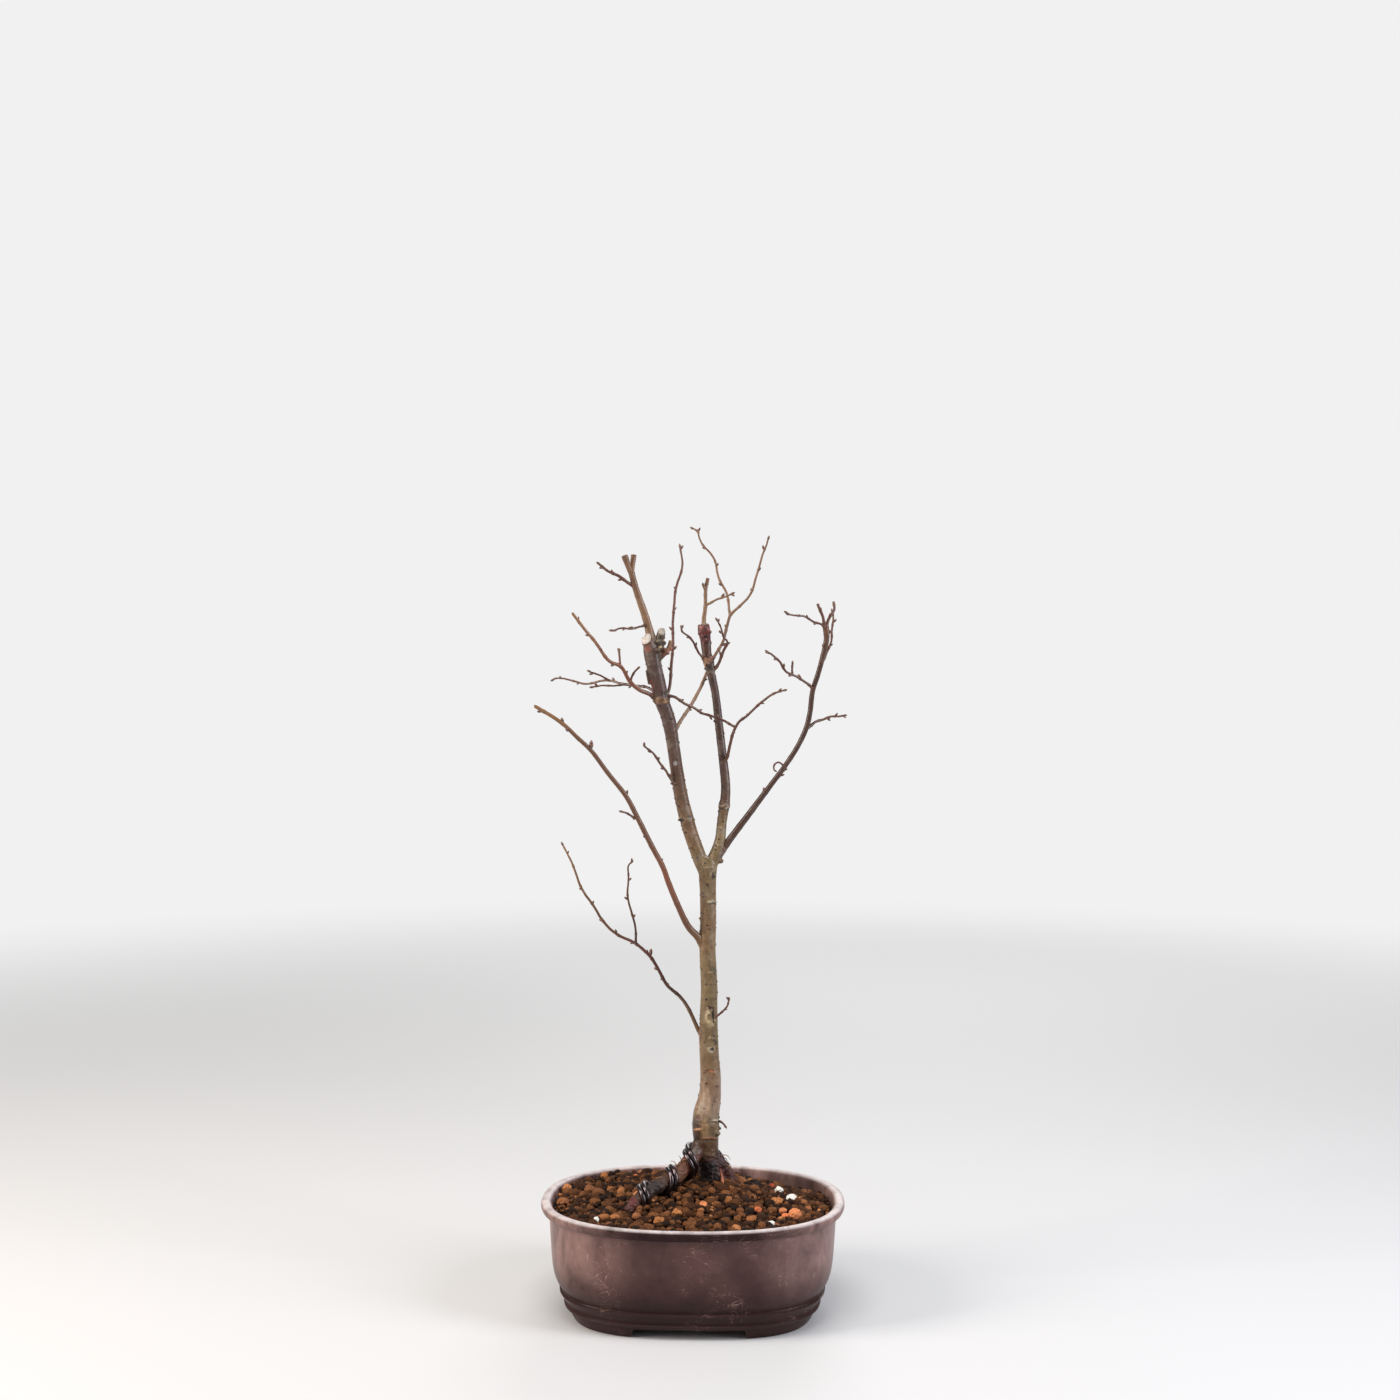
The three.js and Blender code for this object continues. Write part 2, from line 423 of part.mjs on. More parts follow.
function tree() {
  const draw = seededDraw(11);
  const limbs = [
    limb(TRUNK, 14, 1, 0, 0.04),
    limb(WIRED_ROOT, 10, 2, 0, 0.03),
    limb(RIGHT_ROOT, 9, 1, 0, 0.03),
    limb(BACK_ROOT, 8, 1, 0, 0.03),
    limb(THIN_ROOT, 6, 1),
    limb(LEFT_LEADER, 11, 1, 0, 0.03),
    limb(MIDDLE_LEADER, 10, 1, 0, 0.03),
    limb(RIGHT_BRANCH, 8, 1),
    limb(LEFT_BRANCH, 8, 1),
    limb(LOWER_BRANCH, 6, 1),
  ];
  const twigs = Object.values(TWIGS).map((stations) => limb(stations, 5, 1));
  const buds = [
    ...budsOn(RIGHT_BRANCH.slice(4), 17, 3.6, draw),
    ...budsOn(LEFT_BRANCH.slice(6), 21, 4, draw),
    ...budsOn(LOWER_BRANCH.slice(3), 17, 3, draw),
  ];
  for (const stations of Object.values(TWIGS)) {
    if (stations[0][3] < 1.6) buds.push(...budsOn(stations, 20, 3, draw));
  }
  return largestBody(wasm.Manifold.union([...limbs, ...twigs, ...buds, ...KNOBS.map(knob)]));
}

// The wire pair: first behind the foot of the trunk, then wound round the root on the left.
// Each approach point is across, up and depth; each wrap point is a distance along the root and the
// angle round it, counted from its upper side over its front.
const WIRE_APPROACH = [
  [18, 74, 46.5], [19.6, 88, 44.5], [21.2, 98, 40], [20, 104, 35.6], [14, 108, 34], [5, 109.6, 33],
  [-2.4, 110, 28.5], [-6.6, 109.8, 20],
];
const WIRE_WRAP = [
  [14.8, 0], [21.3, 135], [26.2, 200], [34.3, 360], [44, 540], [59.9, 720], [68.2, 900], [72, 1010],
];
const WRAP_STEP = 30;
const ROOT_RELIEF = 1.05; // how far the root's ribs stand out, as a share of its radius

function alongAt(angle) {
  let i = 0;
  while (i < WIRE_WRAP.length - 2 && WIRE_WRAP[i + 1][1] < angle) i += 1;
  const [fromAlong, fromAngle] = WIRE_WRAP[i];
  const [toAlong, toAngle] = WIRE_WRAP[i + 1];
  return THREE.MathUtils.lerp(fromAlong, toAlong, (angle - fromAngle) / (toAngle - fromAngle));
}

// The distance from the root's middle to the wire's middle, so that the flats between the wire's
// stations clear the root's ribs.
function wrapRadius(root, share) {
  const along = root.getUtoTmapping(share) * (WIRED_ROOT.length - 1);
  const from = Math.min(Math.floor(along), WIRED_ROOT.length - 2);
  const rootRadius = THREE.MathUtils.lerp(WIRED_ROOT[from][3], WIRED_ROOT[from + 1][3], along - from);
  const clear = rootRadius * ROOT_RELIEF + CLEARANCE + WIRE_RADIUS;
  return clear / Math.cos(THREE.MathUtils.degToRad(WRAP_STEP / 2));
}

function wireRoute() {
  const trunkMiddle = placed([9.6, 110, 21]);
  const route = WIRE_APPROACH.map((spot) => {
    const point = placed(spot);
    const outward = point.clone().sub(trunkMiddle).setZ(0).normalize();
    return { point, outward };
  });
  const root = new Line(WIRED_ROOT.map(placed)).curve;
  const length = root.getLength();
  const up = new THREE.Vector3(0, 0, 1);
  const lastAngle = WIRE_WRAP[WIRE_WRAP.length - 1][1];
  for (let angle = 0; angle <= lastAngle; angle += WRAP_STEP) {
    const share = alongAt(angle) / length;
    const tangent = root.getTangentAt(share);
    const top = up.clone().addScaledVector(tangent, -up.dot(tangent)).normalize();
    const front = new THREE.Vector3().crossVectors(top, tangent);
    const turned = THREE.MathUtils.degToRad(angle);
    const outward = top.multiplyScalar(Math.cos(turned)).addScaledVector(front, Math.sin(turned));
    const point = root.getPointAt(share).addScaledVector(outward, wrapRadius(root, share));
    route.push({ point, outward });
  }
  return route;
}

function wire(side, grow = 0) {
  const route = wireRoute();
  const middle = new Line(route.map(({ point }) => point));
  const strand = route.map(({ point, outward }, i) => {
    const tangent = middle.curve.getTangent(i / middle.spans);
    const across = new THREE.Vector3().crossVectors(tangent, outward).normalize();
    return point.clone().addScaledVector(across, (side * WIRE_SPACING) / 2);
  });
  const line = new Line(strand);
  return tube(line, line.spans, 7, () => WIRE_RADIUS, grow);
}

// Soil: a block whose top is a field of low six-sided granules, kept to the inside of the pot.

function soilHeight(x, y) {
  const spread = Math.min(Math.hypot((x - 8) / 100, (y - 14) / 78), 1);
  const mound = (MOUND_TOP - SOIL_EDGE) * (0.5 + 0.5 * Math.cos(Math.PI * spread ** 0.9));
  const heaped = 2.6 * Math.exp(-(((x + 72) / 34) ** 2) - ((y - 42) / 30) ** 2);
  return SOIL_EDGE - 0.016 * x + mound + heaped;
}

// The field is a grid sheared into equal triangles, where every third corner is a granule's crown.
function soilBlock() {
  const draw = seededDraw(5);
  const spacing = GRANULE_PITCH / Math.sqrt(3);
  const rowDepth = spacing * Math.sqrt(0.75);
  const rows = Math.ceil((2 * RIM_HALF_DEPTH) / rowDepth);
  const columns = Math.ceil((2 * RIM_HALF_WIDTH) / spacing + rows / 2);
  const geometry = new THREE.BoxGeometry(1, 1, 1, columns, rows, 1);
  const position = geometry.getAttribute("position");
  const shifts = new Map();
  for (let i = 0; i < position.count; i += 1) {
    const column = Math.round((position.getX(i) + 0.5) * columns);
    const row = Math.round((position.getY(i) + 0.5) * rows);
    const key = column * (rows + 1) + row;
    if (!shifts.has(key)) {
      const lift = (column + row) % 3 === 0 ? GRANULE_RISE : -GRANULE_DIP;
      shifts.set(key, [1.6 * (draw() - 0.5), 1.6 * (draw() - 0.5), lift * (0.5 + draw())]);
    }
    const [shiftX, shiftY, lift] = shifts.get(key);
    const x = (column - columns / 2 - (row - rows / 2) / 2) * spacing + shiftX;
    const y = (row - rows / 2) * rowDepth + shiftY;
    position.setXYZ(i, x, y, position.getZ(i) > 0 ? soilHeight(x, y) + lift : 0);
  }
  return solidOf(geometry);
}

// Larger pale and orange granules that lie among the others: x and y.
const LARGE_GRANULES = [
  [-57, -38], [-71, -10], [-79, 2], [-47, -34], [-24, -32], [7, -22], [26, -12], [44, -28], [60, -38],
  [62, -14], [-10, 52], [-48, 30],
];

function largeGranule([x, y], i) {
  const shape = new THREE.IcosahedronGeometry(PUMICE_RADIUS, 0);
  shape.scale(1, 0.85, 0.75);
  shape.rotateZ(i).rotateX(0.4 * Math.sin(3 * i));
  return solidOf(shape.translate(x, y, soilHeight(x, y) + 0.6));
}

function soil() {
  const shrunk = INNER_WALL.slice(1).map(([halfWidth, height]) => [halfWidth - WALL_GAP, height]);
  const bottom = FLOOR_TOP + CLEARANCE;
  const room = ovalSolid([
    [0, 2 * MOUND_TOP], [shrunk[shrunk.length - 1][0], 2 * MOUND_TOP], ...shrunk.reverse(),
    [INNER_WALL[0][0] - WALL_GAP, bottom], [0, bottom],
  ]);
  const heap = wasm.Manifold.union([soilBlock(), ...LARGE_GRANULES.map(largeGranule)]).intersect(room);
  const holes = [
    ...buriedParts(CLEARANCE),
    wire(1, CLEARANCE), wire(-1, CLEARANCE),
    drainMeshRoom(-DRAIN_X), drainMeshRoom(DRAIN_X),
  ];
  return largestBody(heap.subtract(wasm.Manifold.union(holes)));
}

const bonsai = new THREE.Group();
bonsai.add(meshOf("pot", pot(), POT_PLASTIC));
bonsai.add(meshOf("soil", soil(), SOIL_GRAIN));
bonsai.add(meshOf("tree", tree(), BARK));
bonsai.add(meshOf("root_wire_1", wire(1), DARK_WIRE));
bonsai.add(meshOf("root_wire_2", wire(-1), DARK_WIRE));
bonsai.add(meshOf("drain_mesh_left", drainMesh(-DRAIN_X), MESH_PLASTIC));
bonsai.add(meshOf("drain_mesh_right", drainMesh(DRAIN_X), MESH_PLASTIC));

export default bonsai;
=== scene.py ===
"""Looks of a young Japanese zelkova bonsai, bare in winter, in its oval training pot.

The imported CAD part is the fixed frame. Sizes are written in millimetres, as on the real object, and
turned to metres once. +X is the tree's right, +Y its back and +Z up, with the origin under the pot.
"""

import logging
import math
from collections.abc import Callable
from dataclasses import dataclass, field, replace
from enum import Enum
from functools import partial
from random import Random

import bmesh
import bpy
import numpy as np
from bpy.types import Curve, Material, Node, NodeSocket, NodeTree, Object
from mathutils import Euler, Matrix, Vector, kdtree, noise


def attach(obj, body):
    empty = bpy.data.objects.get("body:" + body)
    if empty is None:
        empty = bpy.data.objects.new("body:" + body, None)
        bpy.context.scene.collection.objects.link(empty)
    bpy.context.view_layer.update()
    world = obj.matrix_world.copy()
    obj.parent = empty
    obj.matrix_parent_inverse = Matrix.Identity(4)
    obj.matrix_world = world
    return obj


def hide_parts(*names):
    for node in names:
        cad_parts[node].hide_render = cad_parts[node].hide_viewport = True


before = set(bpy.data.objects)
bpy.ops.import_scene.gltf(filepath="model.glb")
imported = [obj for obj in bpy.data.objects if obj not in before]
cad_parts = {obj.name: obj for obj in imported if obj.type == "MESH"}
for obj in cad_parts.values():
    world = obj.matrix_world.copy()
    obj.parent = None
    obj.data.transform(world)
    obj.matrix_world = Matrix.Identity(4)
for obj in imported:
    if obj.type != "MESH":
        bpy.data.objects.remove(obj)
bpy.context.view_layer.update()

MM = 0.001
log = logging.getLogger("bonsai")

Station = tuple[float, float, float, float]
Settings = dict[str | int, object]
Links = dict[str | int, Node | NodeSocket]
AddNode = Callable[..., Node]


# Colours and nodes


def linear_from_hex(code: str) -> tuple[float, float, float, float]:
    """Turns an sRGB hex colour to the linear colour that Blender's sockets take.

    Args:
        code: The colour, such as "#8b7b60".

    Returns:
        Red, green, blue and alpha, each from 0 to 1.
    """
    shares = [int(code[i : i + 2], 16) / 255 for i in (1, 3, 5)]
    linear = [s / 12.92 if s <= 0.04045 else ((s + 0.055) / 1.055) ** 2.4 for s in shares]
    return (linear[0], linear[1], linear[2], 1.0)


class Kind(Enum):
    """The types of node that the finishes and the room are made of."""

    PLACE = "ShaderNodeTexCoord"
    AXES = "ShaderNodeSeparateXYZ"
    MAPPING = "ShaderNodeMapping"
    ATTRIBUTE = "ShaderNodeAttribute"
    NOISE = "ShaderNodeTexNoise"
    CELLS = "ShaderNodeTexVoronoi"
    RAMP = "ShaderNodeValToRGB"
    RANGE = "ShaderNodeMapRange"
    MATH = "ShaderNodeMath"
    VECTOR_MATH = "ShaderNodeVectorMath"
    MIX = "ShaderNodeMix"
    BUMP = "ShaderNodeBump"
    EMISSION = "ShaderNodeEmission"
    BACKGROUND = "ShaderNodeBackground"
    LIGHT_PATH = "ShaderNodeLightPath"
    MIX_SHADERS = "ShaderNodeMixShader"


def set_node(node: Node, settings: Settings, links: Links) -> Node:
    """Gives a node its settings and its incoming links.

    Args:
        node: The node.
        settings: Values by input name or number, or by property name. A hex colour is made linear.
            "stops" are a ramp's positions and colours, and "ends" are a range's From Min, From Max,
            To Min and To Max.
        links: What feeds each input, by its name or number: an output, or a node for its first one.

    Returns:
        The same node.
    """
    for key, value in settings.items():
        if key == "stops":
            ramp = node.color_ramp
            while len(ramp.elements) < len(value):
                ramp.elements.new(0.5)
            for element, (position, code) in zip(ramp.elements, value):
                element.position = position
                element.color = linear_from_hex(code)
        elif key == "ends":
            for number, end in enumerate(value, start=1):
                node.inputs[number].default_value = end
        elif isinstance(key, str) and hasattr(node, key):
            setattr(node, key, value)
        else:
            node.inputs[key].default_value = linear_from_hex(value) if isinstance(value, str) else value
    for key, source in links.items():
        output = source.outputs[0] if isinstance(source, Node) else source
        node.id_data.links.new(output, node.inputs[key])
    return node


def add_node(
    tree: NodeTree, kind: Kind, settings: Settings | None = None, links: Links | None = None
) -> Node:
    """Adds one node to a tree, with its settings and links.

    Args:
        tree: The node tree to add to.
        kind: The node's type.
        settings: Its settings, as set_node takes them.
        links: Its incoming links, as set_node takes them.

    Returns:
        The new node.
    """
    return set_node(tree.nodes.new(kind.value), settings or {}, links or {})


@dataclass(frozen=True)
class Finish:
    """What every finish shares: a named material with its shader and Object coordinates."""

    name: str

    def start(self) -> tuple[Material, AddNode, Node, NodeSocket]:
        """Makes the empty material.

        Returns:
            The material, what adds a node to it, its shader and its Object coordinate output.
        """
        material = bpy.data.materials.new(self.name)
        material.use_nodes = True
        tree = material.node_tree
        add = partial(add_node, tree)
        return material, add, tree.nodes["Principled BSDF"], add(Kind.PLACE).outputs["Object"]


@dataclass(frozen=True)
class WornPolypropylene(Finish):
    """Injection-moulded polypropylene: a satin, slightly waxy skin, hazed and scuffed by use, with painted
    shade and light.
    """

    body: str = "#351f1e"
    faded: str = "#553936"
    rim_shade: str = "#1c090c"
    pale_haze_and_highlight: str = "#a0817a"
    foot_shade: str = "#2d1f1d"
    rim_wear_and_highlight: str = "#c9c0be"

    def material(self) -> Material:
        """Builds the material.

        Returns:
            The pot's material.
        """
        material, add, shader, place = self.start()
        axes = add(Kind.AXES, {}, {"Vector": place})
        # Patches of fading are about 35 mm across.
        patches = add(Kind.NOISE, {"Scale": 1 / 0.035, "Detail": 4.0, "Roughness": 0.6}, {"Vector": place})
        base = add(Kind.RAMP, {"stops": [(0.38, self.body), (0.66, self.faded)]}, {"Fac": patches})
        # Painted shade: the rim's outer side, 68 to 73 mm up, is painted nearly black.
        over = add(Kind.RANGE, {"ends": (0.0676, 0.0690, 0.0, 0.96)}, {"Value": axes.outputs["Z"]})
        # Haze, with the painted highlight laid with it, lies in smears some 13 mm wide and 24 mm long.
        upright = add(Kind.MAPPING, {"Scale": (1 / 0.013, 1 / 0.013, 1 / 0.024)}, {"Vector": place})
        drift = {"Scale": 1.0, "Detail": 7.0, "Roughness": 0.62, "Distortion": 0.35}
        smears = add(Kind.NOISE, drift, {"Vector": upright})
        # The haze and a painted highlight are thickest on the ends of the oval, from 40 mm off the middle.
        # The left end is the lighter one, so the mask is centred 4 mm to the right.
        shifted = add(Kind.MATH, {"operation": "SUBTRACT", 1: 0.004}, {0: axes.outputs["X"]})
        reach = add(Kind.MATH, {"operation": "ABSOLUTE"}, {0: shifted})
        ends = add(Kind.RANGE, {"ends": (0.040, 0.094, 0.06, 0.80)}, {"Value": reach})
        # Haze and painted light on a wall that lies in shade: the back, with the wall's inside that is seen
        # over the soil, is as pale from 25 mm behind the middle.
        rear_haze_and_light = add(Kind.RANGE, {"ends": (0.025, 0.050, 0.0, 0.80)}, {"Value": axes.outputs["Y"]})
        haze_and_light_mask = add(Kind.MATH, {"operation": "MAXIMUM"}, {0: ends, 1: rear_haze_and_light})
        smeared = add(Kind.RANGE, {"ends": (0.30, 0.70, 0.18, 1.0)}, {"Value": smears})
        haze_and_light_share = add(Kind.MATH, {"operation": "MULTIPLY"}, {0: haze_and_light_mask, 1: smeared})
        # Painted shade: the wall darkens at the foot, up to 20 mm, and the darkening thins out to 48 mm.
        low = add(Kind.RANGE, {"ends": (0.020, 0.048, 0.90, 0.0)}, {"Value": axes.outputs["Z"]})
        # The rim's top is painted pale over its last 1.2 mm, in patches: wear and a painted highlight.
        top = add(Kind.RANGE, {"ends": (0.0734, 0.0747, 0.0, 1.0)}, {"Value": axes.outputs["Z"]})
        rubbed = add(Kind.RANGE, {"ends": (0.30, 0.62, 0.35, 0.9)}, {"Value": smears})
        rim_share = add(Kind.MATH, {"operation": "MULTIPLY"}, {0: top, 1: rubbed})
        # Scratches: pale bent lines, drawn 0.6 mm wide, wider than life, so that they show.
        turned = {"Scale": (1 / 0.030, 1 / 0.030, 1 / 0.018), "Rotation": (0.5, 0.35, 0.2)}
        crossed = add(Kind.MAPPING, turned, {"Vector": place})
        bent = add(Kind.NOISE, {"Scale": 1.5, "Detail": 2.0, "Distortion": 2.2}, {"Vector": crossed})
        thin_line = [(0.490, "#000000"), (0.5, "#ffffff"), (0.510, "#000000")]
        line = add(Kind.RAMP, {"stops": thin_line}, {"Fac": bent})
        rare = add(Kind.RANGE, {"ends": (0.50, 0.66, 0.0, 0.75)}, {"Value": patches})
        scratch_share = add(Kind.MATH, {"operation": "MULTIPLY"}, {0: line, 1: rare})
        # Each layer lies over those before it.
        colour = base.outputs["Color"]
        for layer, share in (
            (self.rim_shade, over),
            (self.pale_haze_and_highlight, haze_and_light_share),
            (self.foot_shade, low),
            (self.rim_wear_and_highlight, rim_share),
            (self.pale_haze_and_highlight, scratch_share),
        ):
            colour = add(Kind.MIX, {"data_type": "RGBA", 7: layer}, {0: share, 6: colour}).outputs[2]
        # Moulded texture: low waves 1.6 mm across.
        waves = add(Kind.NOISE, {"Scale": 1 / 0.0016, "Detail": 2.0, "Roughness": 0.5}, {"Vector": place})
        bump = add(Kind.BUMP, {"Strength": 0.10, "Distance": 0.0002}, {"Height": waves})
        gloss = add(Kind.RANGE, {"ends": (0.3, 0.7, 0.26, 0.44)}, {"Value": smears})
        # Most of the shine is taken from the rim's outer side and the foot, which carry painted shade, so
        # that they stay dark.
        shaded_bands = add(Kind.MATH, {"operation": "MAXIMUM"}, {0: over, 1: low})
        shine = add(Kind.RANGE, {"ends": (0.0, 1.0, 0.25, 0.08)}, {"Value": shaded_bands})
        skin = {"Base Color": colour, "Roughness": gloss, "Specular IOR Level": shine, "Normal": bump}
        set_node(shader, {"IOR": 1.49}, skin)
        return material


@dataclass(frozen=True)
class MoistClayGrain(Finish):
    """Baked clay and pumice grains, moist: matt, pitted lumps, each with its own colour, with painted shade
    in the pits.
    """

    pit: float = 0.8
    roughness: float = 0.88

    def material(self) -> Material:
        """Builds the material.

        Returns:
            The grains' material, which reads each grain's colour from its attribute.
        """
        material, add, shader, place = self.start()
        own = add(Kind.ATTRIBUTE, {"attribute_name": "grain_colour"})
        # Pits and crumbs in a grain's skin are about 0.8 mm across.
        pitting = {"Scale": 1 / (self.pit * MM), "Detail": 4.0, "Roughness": 0.65}
        pits = add(Kind.NOISE, pitting, {"Vector": place})
        # Painted shade and light: the colour is darkened in the pits of the bump and lightened on its crumbs.
        shade = add(Kind.RANGE, {"ends": (0.3, 0.7, 0.42, 1.5)}, {"Value": pits})
        mottled = add(Kind.VECTOR_MATH, {"operation": "SCALE"}, {0: own, "Scale": shade})
        bump = add(Kind.BUMP, {"Strength": 0.55, "Distance": 0.0004}, {"Height": pits})
        dull = {"Roughness": self.roughness, "Specular IOR Level": 0.16}
        set_node(shader, dull, {"Base Color": mottled, "Normal": bump})
        return material


@dataclass(frozen=True)
class SpeckledPumice(Finish):
    """Washed pumice: off-white, pitted, with black mineral specks."""

    white: str = "#d9d7cb"
    black: str = "#26231f"

    def material(self) -> Material:
        """Builds the material.

        Returns:
            The pumice grains' material.
        """
        material, add, shader, place = self.start()
        # Specks are about 0.7 mm and lie 1.6 mm apart.
        specks = add(Kind.CELLS, {"Scale": 1 / 0.0016}, {"Vector": place})
        colour = add(Kind.RAMP, {"stops": [(0.20, self.black), (0.34, self.white)]}, {"Fac": specks})
        # Pits are 0.8 mm across.
        pits = add(Kind.NOISE, {"Scale": 1 / 0.0008, "Detail": 4.0, "Roughness": 0.65}, {"Vector": place})
        bump = add(Kind.BUMP, {"Strength": 0.6, "Distance": 0.0004}, {"Height": pits})
        set_node(shader, {"Roughness": 0.9}, {"Base Color": colour, "Normal": bump})
        return material


@dataclass(frozen=True)
class ZelkovaBark(Finish):
    """Smooth young zelkova bark: thin, faintly glossy, clouded grey and brown, with fine wrinkles."""

    grey: str = "#94887a"
    brown: str = "#553a2a"
    grain: float = 0.5
    mottle: float = 0.36
    dry_roughness: float = 0.36

    def material(self) -> Material:
        """Builds the material.

        Returns:
            The bark's material, which reads the limb's colour and wetness from attributes.
        """
        material, add, shader, place = self.start()
        own = add(Kind.ATTRIBUTE, {"attribute_name": "bark_colour"})
        wet = add(Kind.ATTRIBUTE, {"attribute_name": "wet"}).outputs["Fac"]
        # Shade changes in specks 2.5 mm across and 5 mm up the limb.
        tall = add(Kind.MAPPING, {"Scale": (1 / 0.0025, 1 / 0.0025, 1 / 0.005)}, {"Vector": place})
        specks = add(Kind.NOISE, {"Scale": 1.0, "Detail": 5.0, "Roughness": 0.7}, {"Vector": tall})
        shade = add(Kind.RANGE, {"ends": (0.3, 0.7, 1 - self.mottle, 1 + self.mottle)}, {"Value": specks})
        mottled = add(Kind.VECTOR_MATH, {"operation": "SCALE"}, {0: own, "Scale": shade})
        # Grey lichen film, where it is dry, and brown patches lie in clouds 11 mm across.
        clouds = add(Kind.NOISE, {"Scale": 1 / 0.011, "Detail": 4.0, "Roughness": 0.6}, {"Vector": place})
        film = add(Kind.RANGE, {"ends": (0.52, 0.70, 0.0, 0.75 * self.mottle)}, {"Value": clouds})
        stain = add(Kind.RANGE, {"ends": (0.30, 0.48, 1.3 * self.mottle, 0.0)}, {"Value": clouds})
        dry = add(Kind.MATH, {"operation": "SUBTRACT", 0: 1.0, "use_clamp": True}, {1: wet})
        dry_film = add(Kind.MATH, {"operation": "MULTIPLY"}, {0: film, 1: dry})
        greyed = add(Kind.MIX, {"data_type": "RGBA", 7: self.grey}, {0: dry_film, 6: mottled})
        stained = add(Kind.MIX, {"data_type": "RGBA", 7: self.brown}, {0: stain, 6: greyed.outputs[2]})
        # Fine skin wrinkles, 0.5 mm.
        wrinkling = {"Scale": 1 / (self.grain * MM), "Detail": 3.0, "Roughness": 0.6}
        wrinkles = add(Kind.NOISE, wrinkling, {"Vector": place})
        bump = add(Kind.BUMP, {"Strength": 0.85 * self.mottle, "Distance": 0.0003}, {"Height": wrinkles})
        gloss = add(Kind.RANGE, {"ends": (0.0, 1.0, self.dry_roughness, 0.50)}, {"Value": wet})
        skin = {"Base Color": stained.outputs[2], "Roughness": gloss, "Normal": bump}
        set_node(shader, {"Specular IOR Level": 0.32}, skin)
        return material


@dataclass(frozen=True)
class BudScales(Finish):
    """Winter bud scales: small, dry, chestnut plates with paler edges."""

    chestnut: str = "#3f2a23"
    edge: str = "#7d5945"

    def material(self) -> Material:
        """Builds the material.

        Returns:
            The buds' material.
        """
        material, add, shader, place = self.start()
        # Scale edges repeat every 0.9 mm.
        edges = add(Kind.NOISE, {"Scale": 1 / 0.0009, "Detail": 2.0, "Roughness": 0.5}, {"Vector": place})
        colour = add(Kind.RAMP, {"stops": [(0.38, self.chestnut), (0.70, self.edge)]}, {"Fac": edges})
        bump = add(Kind.BUMP, {"Strength": 0.3, "Distance": 0.0002}, {"Height": edges})
        set_node(shader, {"Roughness": 0.5}, {"Base Color": colour, "Normal": bump})
        return material


@dataclass(frozen=True)
class AnodisedAluminium(Finish):
    """Anodised aluminium wire, dark brown: a smooth metal skin with sharp highlights and light rubs."""

    colour: str = "#4a4142"
    rubbed: str = "#5c5052"

    def material(self) -> Material:
        """Builds the material.

        Returns:
            The training wire's material.
        """
        material, add, shader, place = self.start()
        # Handling rubs are about 12 mm long.
        rubs = add(Kind.NOISE, {"Scale": 1 / 0.012, "Detail": 2.0, "Roughness": 0.5}, {"Vector": place})
        colour = add(Kind.RAMP, {"stops": [(0.45, self.colour), (0.75, self.rubbed)]}, {"Fac": rubs})
        set_node(shader, {"Roughness": 0.2, "Metallic": 0.92}, {"Base Color": colour})
        return material


@dataclass(frozen=True)
class MouldedPolyethylene(Finish):
    """Moulded black polyethylene mesh: dull and faintly waxy, with clay dust in its corners."""

    black: str = "#232323"
    dusty: str = "#4a3b31"

    def material(self) -> Material:
        """Builds the material.

        Returns:
            The drainage meshes' material.
        """
        material, add, shader, place = self.start()
        # Dust lies in patches 5 mm across.
        dust = add(Kind.NOISE, {"Scale": 1 / 0.005, "Detail": 4.0, "Roughness": 0.7}, {"Vector": place})
        colour = add(Kind.RAMP, {"stops": [(0.45, self.black), (0.72, self.dusty)]}, {"Fac": dust})
        set_node(shader, {"Roughness": 0.6}, {"Base Color": colour})
        return material


@dataclass(frozen=True)
class StudioFloor(Finish):
    """A seamless pale studio floor that fades into the background far away."""

    near: str = "#c6c6c6"
    far_light: float = 0.88

    def material(self) -> Material:
        """Builds the material.

        Returns:
            The floor's material.
        """
        material, add, shader, place = self.start()
        far = add(Kind.VECTOR_MATH, {"operation": "LENGTH"}, {0: place}).outputs["Value"]
        # It begins to fade 0.35 m from the pot and has faded 2.4 m away.
        smoothed = {"ends": (0.35, 2.4, 0.0, 1.0), "interpolation_type": "SMOOTHSTEP"}
        fade = add(Kind.RANGE, smoothed, {"Value": far})
        glow = add(Kind.EMISSION, {"Color": "#ffffff", "Strength": self.far_light})
        both = add(Kind.MIX_SHADERS, {}, {0: fade, 1: shader, 2: glow})
        set_node(shader, {"Base Color": self.near, "Roughness": 0.7}, {})
        set_node(material.node_tree.nodes["Material Output"], {}, {"Surface": both})
        return material


# Modelling helpers


def deselect_all() -> None:
    """Leaves edit mode and deselects every object."""
    if bpy.context.mode != "OBJECT":
        bpy.ops.object.mode_set(mode="OBJECT")
    bpy.ops.object.select_all(action="DESELECT")


def pick(obj: Object) -> None:
    """Makes obj the only selected and the active object."""
    deselect_all()
    obj.select_set(True)
    bpy.context.view_layer.objects.active = obj


def modify(obj: Object, kind: str, **settings: object) -> None:
    """Adds a modifier and applies it.

    Args:
        obj: The object to change.
        kind: The modifier's type name.
        settings: The modifier's properties.
    """
    pick(obj)
    modifier = obj.modifiers.new(kind.title(), kind)
    for name, value in settings.items():
        setattr(modifier, name, value)
    bpy.ops.object.modifier_apply(modifier=modifier.name)


def bake_place(obj: Object) -> None:
    """Moves the object's place into its mesh, so that the object sits at the origin."""
    pick(obj)
    bpy.ops.object.transform_apply(location=True, rotation=True, scale=True)


def ball(detail: int, radius: float = 1.0, place: Vector = Vector()) -> Object:
    """Adds a ball of triangles, its radius and place in metres."""
    deselect_all()
    bpy.ops.mesh.primitive_ico_sphere_add(subdivisions=detail, radius=radius, location=place)
    return bpy.context.object


